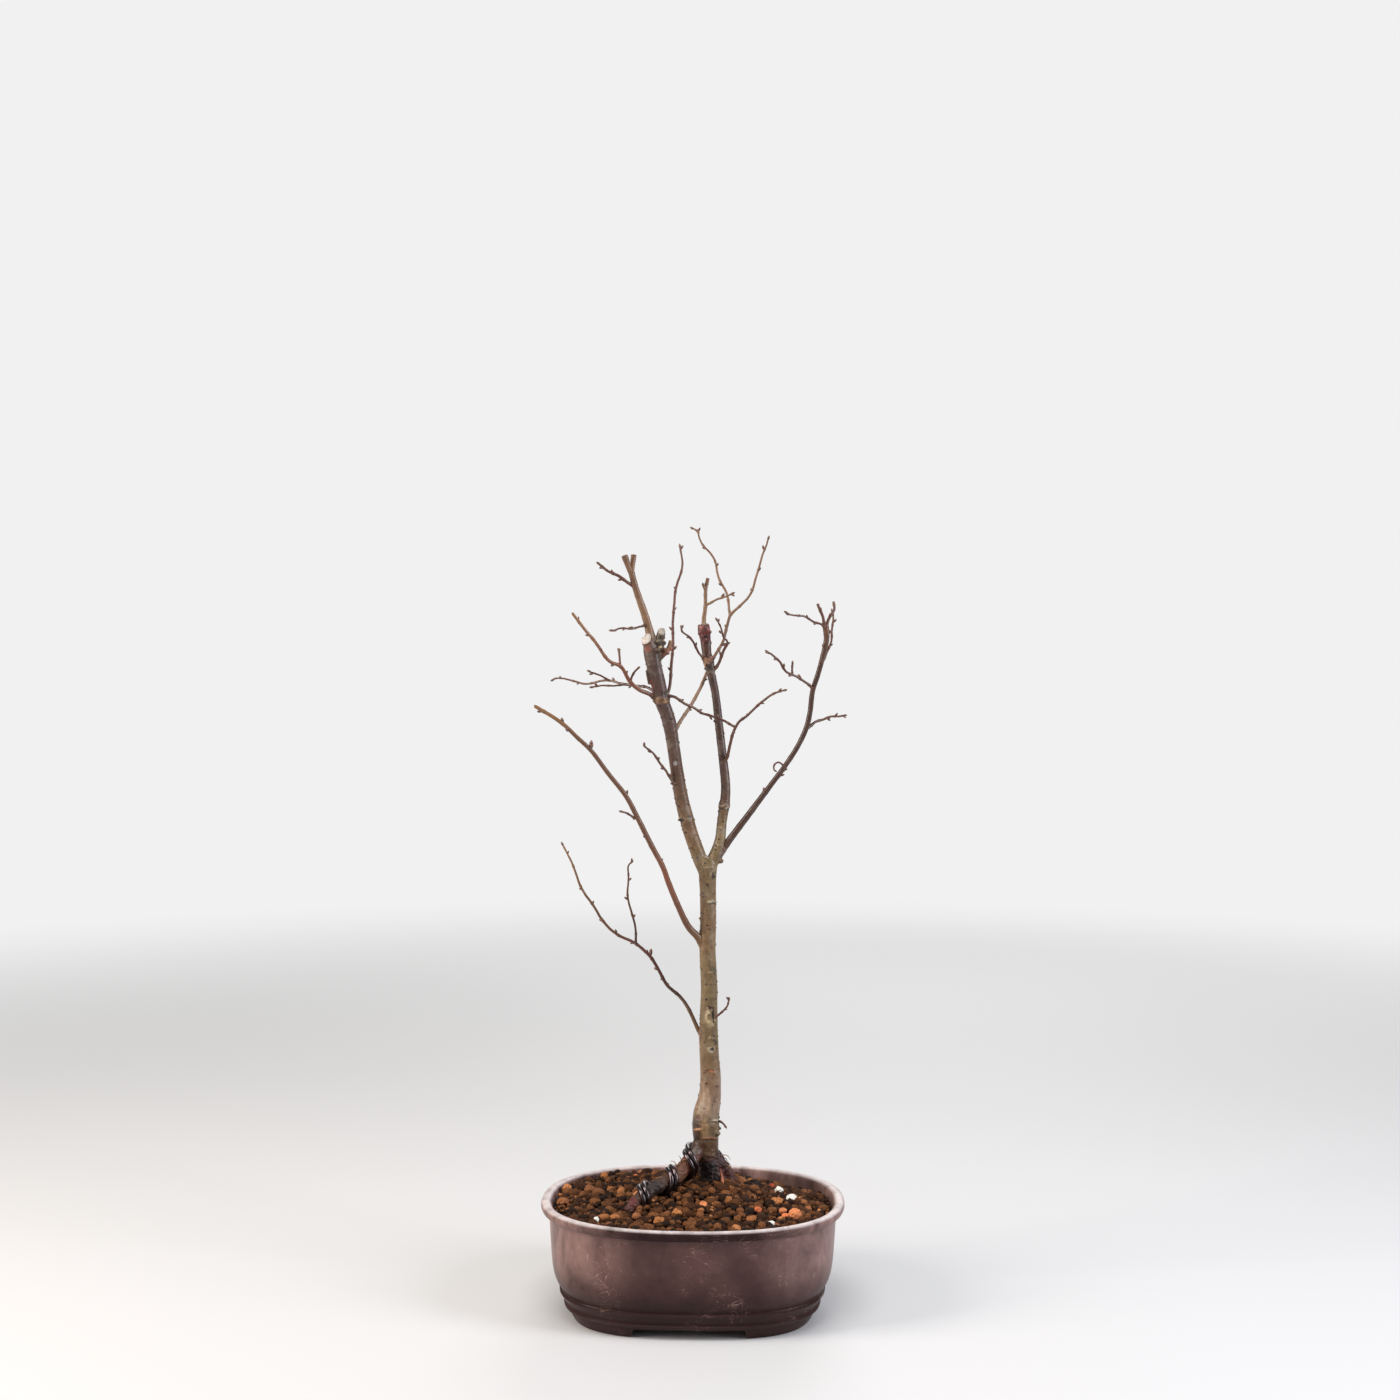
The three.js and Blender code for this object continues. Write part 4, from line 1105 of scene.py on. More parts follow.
TWIGS = {
    "left_shoot_outer_end": twig(
        (-42.3, 506, -7.5, 1.55), (-45.2, 513.6, -10, 2), (-47.6, 520.4, -12, 2.3),
        cut=True, tones=TAN_TWIG,
    ),
    "left_shoot_inner_end": twig(
        (-42.6, 506.6, -8, 1.5), (-42, 513.6, -7, 1.75), (-41.2, 520.9, -6, 2),
        cut=True, tones=TAN_TWIG,
    ),
    "left_shoot_side": twig(
        (-39.5, 498, -5, 1.2), (-50, 505, -10, 1.1), (-59, 510, -13, 0.95), (-66.8, 515.3, -16, 0.85),
    ),
    "left_shoot_lower": twig(
        (-32.6, 472.5, -1.5, 0.85), (-36.5, 470.8, -6, 0.75), (-42, 469.8, -11, 0.7),
        (-49.4, 469.8, -15, 0.65), (-55, 468.2, -18, 0.6),
        tones=DARK_TWIG,
    ),
    "upright_twig": twig(
        (-20, 419, 5, 1.3), (-17, 427, 7.4, 1.1), (-14.8, 444, 11, 1.05), (-13.8, 470, 17, 0.95),
        (-12.6, 493.5, 22, 0.9), (-7.7, 512, 26, 0.8), (-9, 528, 28, 0.65),
    ),
    "outer_twig": twig(
        (-23, 419, 3, 1.7), (-30, 424, 0, 1.5), (-37, 427, -4, 1.5), (-44, 433, -10, 1.4),
        (-50, 443, -17, 1.25), (-59, 448, -24, 1.2), (-70, 463, -32, 1.1), (-84, 480, -40, 1),
        tones=(Tone.DARK_BROWN, Tone.RED_BROWN, Tone.RED_BROWN, Tone.OLIVE_TAN),
    ),
    "outer_twig_spur": twig((-50.4, 442.6, -17, 0.8), (-51.3, 449, -15.6, 0.75), (-51.3, 455.4, -14, 0.7)),
    "outer_twig_fork": twig((-43.6, 432.6, -10, 0.8), (-40.4, 440.2, -13, 0.7), (-37.4, 443, -15, 0.65)),
    "back_twig": twig(
        (-25, 425, 4, 1.1), (-32, 429, 9, 1), (-40.4, 429.6, 14, 1), (-49, 431.5, 20, 0.9),
        (-58.2, 433.6, 26, 0.8), (-74, 431.4, 36, 0.75), (-82, 433, 40, 0.7), (-95.4, 435, 46, 0.6),
        (-98.6, 433.6, 47.5, 0.55),
        tones=DARK_TWIG,
    ),
    "back_twig_upper": twig((-57.4, 433.4, 25.6, 0.7), (-64.4, 436.7, 25, 0.65), (-73, 440.6, 24, 0.55)),
    "back_twig_lower": twig(
        (-45.6, 430.6, 18, 0.7), (-59, 430, 17, 0.65), (-71.4, 429.2, 18, 0.55),
        tones=DARK_TWIG,
    ),
    "inner_twig": twig(
        (-8.4, 357, 11.5, 1), (-12, 361, 8.4, 0.9), (-20.2, 372.2, 4, 0.85), (-25.4, 380, -0.6, 0.85),
        (-34, 388.6, -7, 0.65),
        tones=DARK_TWIG,
    ),
    "crossing_stem": twig(
        (-14, 396, 6.6, 1.5), (-9, 404.6, 12, 1.3), (-1.4, 416.6, 20, 1.2), (4.8, 427.2, 29, 1.15),
        (9.7, 439.6, 38, 1.15), (15, 450, 42, 1.1), (20.3, 459.8, 45, 1.05), (23, 468.6, 47.5, 1.05),
        (26.5, 480.4, 50, 1.05),
        tones=TAN_TWIG,
    ),
    "crossing_left": twig(
        (26, 479, 49.6, 1), (23.8, 492.5, 52, 0.9), (18.4, 504, 54, 0.85), (15, 517.4, 56, 0.8),
        (6, 529.4, 57, 0.7), (3.5, 538.2, 58, 0.65),
        tones=TAN_TWIG,
    ),
    "crossing_left_tip": twig(
        (4.2, 535.6, 57.6, 0.6), (1.6, 538.6, 58.6, 0.55), (-1.2, 540.2, 59.4, 0.55),
        tones=TAN_TWIG,
    ),
    "crossing_right": twig(
        (26, 479, 50, 1), (33.6, 486.4, 48, 0.9), (40.7, 495.2, 45, 0.85), (45.2, 509.4, 43, 0.8),
        (47.8, 520, 42, 0.75), (51.4, 528, 41.5, 0.65), (53.1, 533.6, 41, 0.6),
        tones=TAN_TWIG,
    ),
    "front_twig": twig(
        (-20, 423, 2.4, 1.2), (-14.4, 422.4, 1, 1.05), (-2.6, 416, 7, 0.95), (6.4, 411.2, 12.4, 0.85),
        (12, 409, 14, 0.75),
        tones=DARK_TWIG,
    ),
    "rising_twig": twig(
        (21, 376, 23, 1.3), (23.4, 379.4, 20.4, 1.15), (25.9, 388, 17, 1.05), (28.1, 398, 15, 1),
        (31.6, 404.6, 13.6, 0.95), (38.4, 409.4, 10, 0.9), (48, 419, 4.4, 0.85), (55.2, 424, 0, 0.8),
        (65, 426.8, -5, 0.65),
    ),
    "rising_twig_back": twig(
        (29.8, 401.2, 14.2, 0.9), (21.4, 405.4, 17.4, 0.85), (13, 409.2, 19, 0.8), (5, 410.6, 20, 0.75),
    ),
    "middle_shoot_stub": twig((8.8, 496.4, 33, 1), (7, 501, 31.6, 0.9), tones=TAN_TWIG),
    "middle_shoot_twig": twig(
        (9, 486.2, 31.6, 0.9), (18.4, 490.4, 27, 0.75), (24.6, 493, 24, 0.7), (28.6, 494.4, 22, 0.55),
        tones=TAN_TWIG,
    ),
    "knee_twig": twig(
        (9.6, 449, 29, 1), (6.6, 450, 26, 0.85), (2.4, 456, 22.4, 0.8), (-3, 464.6, 18, 0.75),
        (-7.6, 467.8, 15.6, 0.65), (-8.6, 471.4, 14.6, 0.55),
    ),
    "hook_twig": twig(
        (13.2, 439, 29, 1.2), (16.4, 443, 28.4, 1.1), (19.6, 450, 27, 1.05), (22.6, 456.6, 26, 1),
        (23.8, 460.2, 25.6, 0.8), (21.4, 463.4, 24.6, 0.7), (20, 469.6, 22, 0.65), (15.8, 476.6, 19, 0.55),
    ),
    "right_left_twig": twig(
        (92.4, 469.6, 3.4, 0.95), (89.4, 472.2, -0.6, 0.85), (85, 474.2, -5, 0.75), (77, 478, -12, 0.7),
        (69, 479.4, -16, 0.65), (65.4, 479.6, -18, 0.55),
    ),
    "right_stub": twig((92.2, 470, 3.4, 1.1), (90, 478, 1.6, 1), (87, 487.2, 0, 1), cut=True),
    "right_end": twig(
        (92.3, 469.6, 3.4, 1.1), (95.8, 479, 5, 1), (98, 483, 6.4, 0.9), (98, 488.4, 8, 0.85),
        cut=True,
    ),
    "right_partner": twig(
        (90, 446.6, 5.6, 0.95), (93.4, 453, 8, 0.85), (96.4, 463, 10.6, 0.75), (97.1, 472, 12.6, 0.75),
        (97.5, 482, 14, 0.65),
    ),
    "right_inner": twig(
        (83.4, 427.6, 6.6, 1), (78.6, 432.4, 2.4, 0.9), (64.8, 440.2, -6, 0.85), (59.4, 447.4, -11, 0.8),
        (54.5, 452.2, -15, 0.7), (50.9, 453, -17, 0.6),
    ),
    "right_inner_spur": twig((69.2, 438.4, -4, 0.7), (69, 446.6, -5, 0.6)),
    "right_outer": twig(
        (78.4, 399.6, 10.4, 1.1), (86.3, 405, 17, 0.95), (94.2, 407.8, 25, 0.85), (102.2, 409, 33, 0.75),
        (106.7, 409, 38, 0.6),
        tones=DARK_TWIG,
    ),
    "curled_twig": limb(
        (65, 371.4, 14, 0.75), (62.6, 374.8, 12.8, 0.7), (59.6, 377, 11.4, 0.65), (56.8, 375.2, 10, 0.65),
        (56.6, 371.8, 9, 0.6), (58.4, 370.4, 8.6, 0.55),
    ),
    "left_branch_twig": twig((-40.4, 337.2, -6, 0.8), (-46.8, 341.8, -8, 0.7), (-50.8, 342.8, -10, 0.6)),
    "lower_fork": twig(
        (-39.6, 250.4, 41, 0.9), (-39.8, 258.4, 38, 0.8), (-42.8, 273, 33, 0.75), (-45.6, 285.4, 30, 0.7),
        (-44.9, 297.6, 28, 0.65), (-44.7, 304.4, 27, 0.6), (-41.8, 307.8, 26, 0.55),
        tones=DARK_TWIG,
    ),
    "trunk_twig": twig(
        (14, 198, 17, 0.9), (17.4, 201, 14, 0.75), (23.7, 206.3, 10, 0.65), (24.8, 212.6, 8, 0.55),
    ),
    "foot_twig": twig(
        (16.6, 127.6, 19, 0.8), (19.6, 126.4, 16.4, 0.7), (23, 122.4, 14.6, 0.6),
        tones=DARK_TWIG,
    ),
}

# Knobs and healed scars: across, up, depth, radius.
KNOBS = (
    (19.2, 308, 17, 2.2), (1.4, 112.4, 19, 1.8), (3.4, 118, 15.4, 1.5), (16.8, 137, 19, 1.2),
    (5.2, 268, 18, 1.1), (15.6, 250, 17, 1.1), (14.2, 231.4, 14.6, 1.5), (15.4, 229.6, 15.6, 1.2),
    (12.2, 279.2, 13.6, 1.2), (14.9, 297.6, 14.2, 1.3), (17.4, 118.4, 15, 2), (18.6, 122, 17.4, 1.4),
    (2.6, 136, 14.6, 1), (-14.8, 362, 10, 1.3), (-10.6, 361, 7.8, 1.1), (-7.4, 338.6, 11, 1.5),
    (-9.6, 336.6, 13.4, 1.2), (-3.4, 335.6, 11.4, 1.2), (0.8, 336.8, 14.4, 1), (-20.4, 402.6, 4, 1.1),
    (-13.4, 398, 2.2, 1), (-26.2, 419.4, 2, 2), (-24.6, 416.8, -0.6, 1.6), (-22, 421.4, -1.4, 1.7),
    (-19.4, 418.8, -0.4, 1.5), (-17.2, 420.6, 4.4, 1.6), (-16.8, 417, 2.4, 1.2), (-24.2, 460.6, -4.2, 2.3),
    (-22, 456.6, -4, 2.2), (-24.6, 454.6, -5, 2), (-20.2, 459.6, -2.6, 1.7), (-19.4, 455, -1.6, 1.6),
    (-17.4, 452.4, 0, 1.4), (-20.6, 463.4, -2.6, 1.3), (-15.4, 455.2, 0.8, 1.1), (24.6, 322, 18.6, 1.2),
    (21.9, 346.6, 17.6, 1.4), (24.6, 345.4, 19.4, 1.1), (18.8, 347.6, 19.4, 1.1), (20.4, 344.6, 17.8, 1),
    (7.4, 448.6, 27.6, 1.7), (9.4, 445, 26, 1.8), (12.6, 447.4, 26, 1.7), (14.6, 449.6, 28.6, 1.6),
    (13.8, 444.6, 28, 1.3), (11, 450.6, 26.8, 1.3), (8.4, 441.6, 27.6, 1), (4.6, 471.4, 29.6, 1.6),
    (4.6, 466.2, 29, 1.5), (7.4, 470.8, 27.4, 1.8), (10.2, 472, 28.6, 1.5), (11.4, 467.4, 28.8, 1.7),
    (9.4, 461.4, 27.4, 1.4), (6.6, 463.4, 27.2, 1.3), (12.2, 459.8, 29, 1.1), (15, 405.4, 24.6, 1.2),
    (14.6, 160.4, 13.6, 1.3), (7.8, 161.4, 14, 1), (5.4, 186, 17, 1.1), (13.2, 184.4, 13.8, 1),
)


@dataclass(frozen=True)
class Mark:
    """A ring, scar, hole or patch on the bark, as the front shows it, in millimetres."""

    across: float
    up: float
    half_width: float
    half_height: float
    colour: str
    relief: float = 0.0
    around: bool = False


@dataclass(frozen=True)
class CutFace:
    """A flat sawn or clipped face: its middle, the way it faces, and how far it reaches."""

    across: float
    up: float
    depth: float
    facing: tuple[float, float, float]
    radius: float
    colour: str = Tone.CUT.value


MARKS = tuple(
    Mark(*row)
    for row in (
        # The oval wound low on the trunk: a pale rolled edge round sunken wood, dark along its right.
        (12, 199.6, 3.3, 6.8, "#bda983", 0.4), (12.2, 199.8, 2.1, 5.3, "#6b573f", -0.5),
        (14.1, 200.8, 0.9, 5.2, "#1f1611", -0.5), (12.8, 205.6, 1.9, 0.9, "#251b14", -0.4),
        (10.8, 202.6, 0.9, 1.6, "#c6b693", 0.2), (11.2, 195.8, 1.5, 1.3, "#a8966f", 0.3),
        # A healed pruning point with a dark hole, and small scars round it.
        (12.3, 176.6, 2.9, 2.3, "#8f7e66", 0.45), (13.2, 176.8, 1.3, 1.2, "#191310", -0.8),
        (15.8, 181.4, 1.1, 1.4, "#2c2a1f", 0.3), (3.9, 178.4, 1.4, 0.9, "#a89a84", 0.25),
        (11.6, 184.8, 1, 0.7, "#95836a", 0.25), (10.8, 162.2, 4.2, 0.6, "#53301f", -0.25),
        (12.6, 161.6, 1.6, 0.6, "#9a5f3f", 0.2),
        # Cracks and scars higher up. The crack at 278 mm is a dark painted shade line with pale painted
        # highlights on its lip above.
        (13.4, 279.6, 3.4, 1.4, "#7c6e56", 0.25), (14.4, 278.4, 3.2, 0.6, "#221811", -0.55),
        (11.4, 279.6, 1.6, 0.7, "#8f8267", 0.3), (14.2, 297.4, 1.1, 2.4, "#2c2219", -0.5),
        (12.4, 298.6, 0.9, 1.3, "#776a52", 0.2), (14.4, 232, 1.9, 2.4, "#3b3a22", -0.35),
        (12.4, 230.2, 2.2, 0.8, "#8b7a5d", 0.3),
        # Scars, tones and rings on the flared foot, with painted shade down its left edge and at its base,
        # and painted highlight streaks down its middle.
        (3.7, 129.4, 2, 1.7, "#5b3129", -0.25), (4.8, 124.8, 2.2, 0.5, "#9a603f", 0.2),
        # Painted shade down the left edge of the foot.
        (1.8, 120.4, 3.6, 10, "#33231b"),
        # The first two are painted highlight streaks down the middle of the foot.
        (8.4, 122, 2.8, 6.5, "#8a6f50"), (9.4, 140, 2.6, 9, "#957b66"), (-0.5, 107.6, 5, 5, "#38241c"),
        (11.4, 104.6, 4.2, 4.6, "#5c4632"), (12.4, 100.4, 3.4, 2.2, "#3c2422"),
        # The first is near-black painted shade at the trunk's base.
        (10.6, 95, 5.6, 3.6, "#150f0e"), (15.6, 127.4, 2.4, 0.8, "#bfb09b", 0.35),
        (15.4, 126, 2.2, 0.7, "#5d4333", -0.3), (3.4, 121.4, 3.2, 0.8, "#b58966", 0.25),
        (12, 115.2, 5.2, 0.6, "#97532f", 0.3), (9, 113.6, 9, 0.8, "#33251c", -0.25, True),
        (9, 125.6, 9, 0.6, "#5c4a3a", -0.15, True),
        # Rings under the fork.
        (10.5, 303.4, 8, 0.6, "#85755c", 0.2, True),
        (10.5, 301.8, 8, 0.5, "#5b4b3c", -0.2, True), (3.9, 308.5, 1, 2.2, "#5e4c3a", -0.25),
        # Rings, scars and patches on the leaders, with painted highlights and painted shade on the middle
        # leader's top knob.
        (21.6, 346.4, 4.4, 1, "#8a7860", 0.25, True), (23.6, 344.9, 1.5, 0.6, "#b9ad93", 0.2),
        (19.4, 347.4, 1, 0.9, "#2f251c", -0.3), (21.6, 344.2, 4.4, 0.6, "#372a22", -0.3, True),
        (17.4, 319.2, 3.6, 0.5, "#857555", 0.15), (18.6, 331.4, 1.8, 0.5, "#8a7b60", 0.15),
        (-5.6, 337.2, 5.4, 0.9, "#8a795d", 0.2, True), (-7.8, 336, 1.8, 1.5, "#2e231d", -0.4),
        (-2.4, 338.6, 1.6, 1, "#3a2c24", -0.3), (-12.2, 376, 1.4, 1.6, "#a29a96", 0.1),
        (-21.8, 419.6, 5.4, 2.2, "#674b36", 0.2), (-24.4, 420.8, 1.3, 0.8, "#8d6c4e", 0.2),
        (-19.4, 418.6, 1.2, 0.8, "#84644a", 0.2), (-18.4, 424.6, 1.8, 1.6, "#2a231a", -0.4),
        (-28.8, 428, 1.6, 6.5, "#63382d"), (-31.4, 455.4, 2, 2.2, "#80493d"),
        (-22.6, 456.9, 1.2, 0.9, "#a8946f"), (-24.4, 461.2, 1.1, 0.8, "#665a3f"),
        (-20, 461.6, 0.9, 0.8, "#846e4c"), (9.6, 447.2, 3.4, 2.2, "#6d4e3a", 0.1),
        (8.6, 448.2, 1.2, 0.8, "#8e6b4e", 0.1), (13.6, 449.6, 1.7, 1, "#875543", 0.1),
        (12.2, 441.2, 2, 1.6, "#231a18", -0.5), (7.6, 444.2, 1.3, 1.1, "#a9825f", 0.1),
        # The middle leader's top knob: maroon, with pink painted highlights and dark painted shade in its
        # crevices.
        (7.8, 466, 6, 6.4, "#572a28"), (6, 470.2, 1.6, 1.2, "#84504a", 0.1),
        (11, 468.6, 1.3, 1, "#7c4943", 0.1), (8.6, 463.6, 2.8, 0.9, "#1f1414", -0.5),
        (9.6, 459.8, 1.6, 0.9, "#2a1a19", -0.4), (7.2, 473.6, 4.4, 0.9, "#736a4f"),
        # The pale end of the cut stub, and the raw red tip of the wired root.
        (-21.6, 467.8, 2.5, 2.4, "#857a6c"), (-41.4, 70.6, 2.8, 3.2, "#561417"),
    )
)

CUTS = (
    CutFace(-32.4, 461.9, -5.4, (-0.42, 0.52, -0.74), 4.8, "#b3aba3"),
    CutFace(-22, 467.6, -3.6, (0.25, 0.62, -0.74), 3.4, "#948a7e"),
)

# The buds that stand out: across, up, depth, lean and length.
LARGE_BUDS = (
    (-70.9, 386.4, -15, (0.05, 0, 1), 5.6), (-90.4, 403.6, -18.8, (-0.25, 0, 1), 4.4),
    (-88.4, 401.4, -18.4, (0.35, -0.2, -1), 3.8), (-46.6, 353.6, -9.4, (0.3, 0, 1), 4),
    (-29.6, 242.4, 38, (0.1, 0, 1), 5), (-52.6, 361.4, -10.6, (-0.9, -0.2, 0.5), 3.6),
    (-22.6, 307.4, 1.4, (0.6, -0.1, 0.8), 3), (-12.6, 281.4, 7.8, (0.7, -0.2, 0.7), 2.8),
    (-20, 226, 33.6, (-0.8, 0, -0.2), 3), (61.4, 369.6, 14.4, (0.9, -0.2, 0.4), 3),
)

# Where each fine rootlet starts, and which way it sets out, both as across, up and depth.
HAIR_STARTS = (
    ((20.4, 103.4, 15.6), (0.9, 0.5, -0.4)), ((21.2, 101.4, 15.4), (1, 0.1, -0.3)),
    ((22.6, 98.4, 16.4), (1, 0.5, -0.2)), ((23.4, 96.8, 16), (1, -0.1, -0.5)),
    ((24.6, 94.2, 16), (1, 0.3, -0.3)), ((25.6, 91.2, 16.4), (1, -0.3, -0.3)),
    ((-5.4, 99.4, 6.6), (-0.8, 0.7, -0.2)), ((-7.4, 97.8, 5.4), (-0.5, 1, -0.3)),
    ((-8.6, 96.4, 4.6), (-1, 0.4, -0.2)), ((-10.4, 95.6, 3.2), (-0.6, 0.9, -0.3)),
    ((-4.4, 98.4, 4.8), (-0.7, 0.2, -0.8)), ((-12.4, 93, 1.6), (-0.9, 0.6, -0.3)),
    ((-20.4, 87.4, -4), (-0.7, 0.6, -0.6)), ((13.6, 92, 12.4), (0.2, -0.8, -0.6)),
)


@dataclass
class Tree:
    """The zelkova itself: wood grown as one, its branches and twigs, buds and fine roots."""

    voxel: float = 0.60
    node_spacing: float = 10.5
    long_shoot: float = 58.0
    bud_length: float = 3.2
    thickest_budding: float = 2.2
    thick_shoot: float = 1.35
    missing_on_thick: float = 0.75
    missing_on_thin: float = 0.06
    lenticels: int = 300
    lenticel_gap: float = 3.2
    lowest_lenticel: float = 108.0
    highest_lenticel: float = 448.0
    hair_radius: float = 0.38
    left_reach: float = 107.7
    right_reach: float = 109.4
    top_reach: float = 546.8
    damp_top: float = 100.0
    damp_fade: float = 7.0
    tone_blend: float = 0.9
    seed: int = 23

    def tube_object(self, name: str, limbs: list[list[Sample]], sides: int) -> Object:
        """Bends round bars along limbs.

        Args:
            name: The new object's name.
            limbs: Each limb's samples.
            sides: The bar's number of sides.

        Returns:
            One mesh object with a closed tube for each limb.
        """
        deselect_all()
        line = bpy.data.curves.new(name, "CURVE")
        line.dimensions = "3D"
        line.bevel_depth = 1.0
        line.bevel_resolution = max((sides - 4) // 2, 0)
        line.use_fill_caps = True
        for samples in limbs:
            spline = line.splines.new("POLY")
            spline.points.add(len(samples) - 1)
            for point, sample in zip(spline.points, samples):
                point.co = (*(sample.point * MM), 1.0)
                point.radius = sample.radius * MM
        return mesh_of(line)

    def knobs(self) -> list[Object]:
        """Models the knobs and healed scars as beads, to be fused with the wood."""
        beads = []
        for across, up, depth, radius in KNOBS:
            bead = ball(3, radius * MM, FRONT.place(across, up, depth) * MM)
            bead.scale = (1, 1, 0.85)
            bake_place(bead)
            beads.append(bead)
        return beads

    def paint(
        self,
        obj: Object,
        limbs: list[list[Sample]],
        marks: tuple[Mark, ...] = (),
        cuts: tuple[CutFace, ...] = (),
    ) -> None:
        """Colours the bark limb by limb, and adds the marks and cuts with their relief.

        Args:
            obj: The wood.
            limbs: The samples of the limbs that it holds.
            marks: The rings, scars and patches on it.
            cuts: Its cut faces.
        """
        every = [sample for samples in limbs for sample in samples]
        tree = search_tree([sample.point for sample in every])
        points = rows_of(obj, "co") / MM
        colours = np.empty((len(points), 3))
        for row, point in enumerate(points):
            total = 0.0
            mixed = np.zeros(3)
            for _, i, distance in tree.find_n(point, 6):
                weight = math.exp(-(distance - every[i].radius) / self.tone_blend)
                mixed += weight * np.array(every[i].colour)
                total += weight
            colours[row] = mixed / total
        normals = rows_of(obj, "normal")
        turn = math.radians(FRONT.turn)
        facing = normals[:, 1] * math.cos(turn) - normals[:, 0] * math.sin(turn)
        seen = FRONT.seen(points)
        # Edges wander over 2.6 mm and crumble over 0.9 mm.
        wobble, crumble = (np.array([noise.noise(Vector(p) / size) for p in points]) for size in (2.6, 0.9))
        lift = np.zeros(len(points))
        for mark in marks:
            rise = seen[:, 1] - mark.up - (1.3 * wobble if mark.around else 0.5 * wobble)
            away = np.hypot((seen[:, 0] - mark.across) / mark.half_width, rise / mark.half_height)
            share = np.clip((1.25 + 0.35 * crumble - away) / 0.5, 0, 1)
            if mark.around:
                share = share * np.clip(0.62 + 1.1 * wobble, 0, 1)
            else:
                share = share * np.clip(0.5 - facing * 2.5, 0, 1)
            colours += share[:, None] * (np.array(linear_from_hex(mark.colour)[:3]) - colours) * 0.92
            lift += share * mark.relief
        wet = np.clip((self.damp_top - points[:, 2]) / self.damp_fade, 0, 1)
        points += normals * lift[:, None]
        for cut in cuts:
            middle = np.array(FRONT.place(cut.across, cut.up, cut.depth))
            across, up, depth = cut.facing
            outward = np.array(Vector((across, depth, up)).normalized())
            beyond = (points - middle) @ outward
            near = (np.linalg.norm(points - middle, axis=1) < cut.radius) & (beyond > -0.15)
            points[near] -= np.outer(beyond[near] - 0.12 * crumble[near], outward)
            colours[near] = np.array(linear_from_hex(cut.colour)[:3]) * (1 + 0.35 * crumble[near, None])
        move_corners(obj, points)
        store_colour(obj, "bark_colour", np.clip(colours, 0, 1))
        layer = obj.data.attributes.new("wet", "FLOAT", "POINT")
        layer.data.foreach_set("value", wet)

    def weather(self, obj: Object, ridge: float, size: float, rough: float) -> None:
        """Moves the surface in and out, as grown wood is never round.

        Args:
            obj: The wood.
            ridge: How far, in millimetres.
            size: The lumps' size, in millimetres.
            rough: How much rougher it is in the soil's damp, below 100 mm.
        """
        points = rows_of(obj, "co") / MM
        normals = rows_of(obj, "normal")
        lift = np.empty(len(points))
        for row, (x, y, z) in enumerate(points):
            broad = noise.noise(Vector((x, y, z * 0.45)) / size)
            fine = noise.noise(Vector((x, y, z * 1.6)) / (size * 0.28))
            damp = min(max((106 - z) / 8, 0), 1)
            fibre = noise.noise(Vector((x * 0.55, y, z * 0.9)) / 1.5)
            lift[row] = ridge * (broad + 0.35 * fine) + rough * damp * (fibre + 0.5 * fine)
        points += normals * lift[:, None]
        move_corners(obj, points)

    def spacing(self, samples: list[Sample]) -> float:
        """Returns the distance between a limb's nodes: wide on strong shoots, close on weak twigs."""
        long = lengths_along([sample.point for sample in samples])[-1] > self.long_shoot
        return self.node_spacing * (1.45 if long else 0.8)

    def knuckled(self, samples: list[Sample], draw: Random) -> list[Sample]:
        """Gives a twig its kinks, the swellings at its nodes and a flared foot.

        Args:
            samples: The twig's smooth samples.
            draw: The random source.

        Returns:
            The samples, bent and swollen.
        """
        side_turn = draw.choice((-1, 1))
        start = draw.uniform(0.2, 0.8)
        walked = 0.0
        spacing = self.spacing(samples)
        result = []
        for i, sample in enumerate(samples):
            if i:
                walked += (sample.point - samples[i - 1].point).length
            thin = min(max((1.5 - sample.radius) / 0.5, 0), 1)
            count = walked / spacing + start
            phase = count % 1
            wave = (1 - 2 * abs(phase - 0.5)) * (1 if int(count) % 2 else -1) * side_turn
            side = sample.tangent.cross(Vector((0.25, -1, 0.1))).normalized()
            sway = side * (0.38 * thin * wave * min(walked / 4, 1))
            node = min(phase, 1 - phase) * spacing
            swell = 1 + (0.06 + 0.24 * thin) * math.exp(-((node / 1.0) ** 2))
            flare = 1 + 0.35 * math.exp(-walked / 1.6)
            radius = sample.radius * swell * flare
            result.append(replace(sample, point=sample.point + sway, radius=radius))
        return result

    def bud_shape(self) -> Object:
        """Models one winter bud, a millimetre long, as overlapping scales round a point.

        Returns:
            The bud, which stands on its base and points up.
        """
        levels = [
            (0.1, 0), (0.2, 0.06), (0.25, 0.18), (0.235, 0.26), (0.265, 0.3), (0.27, 0.42),
            (0.235, 0.52), (0.255, 0.56), (0.2, 0.74), (0.12, 0.88), (0.03, 1),
        ]
        bud = loft("bud_pattern", levels, 8)
        face_outwards(bud)
        modify(bud, "TRIANGULATE")
        return bud

    def buds(self, limbs: list[tuple[Limb, list[Sample]]], draw: Random) -> Object:
        """Copies the bud to every node, alternately on either side, and to the tips.

        Args:
            limbs: The budding limbs with their bent samples.
            draw: The random source.

        Returns:
            All the buds as one object.
        """
        corners, faces = take_apart(self.bud_shape())
        shape = corners / MM
        copies = Copies()

        def put(place: Vector, lean: Vector, length: float) -> None:
            """Adds one bud at a place, pointing along lean."""
            turn = lean.to_track_quat("Z", "Y").to_matrix()
            spin = Matrix.Rotation(draw.uniform(0, math.tau), 3, "Z")
            matrix = np.array(turn @ spin)
            copies.add((shape * length) @ matrix.T + np.array(place), faces)

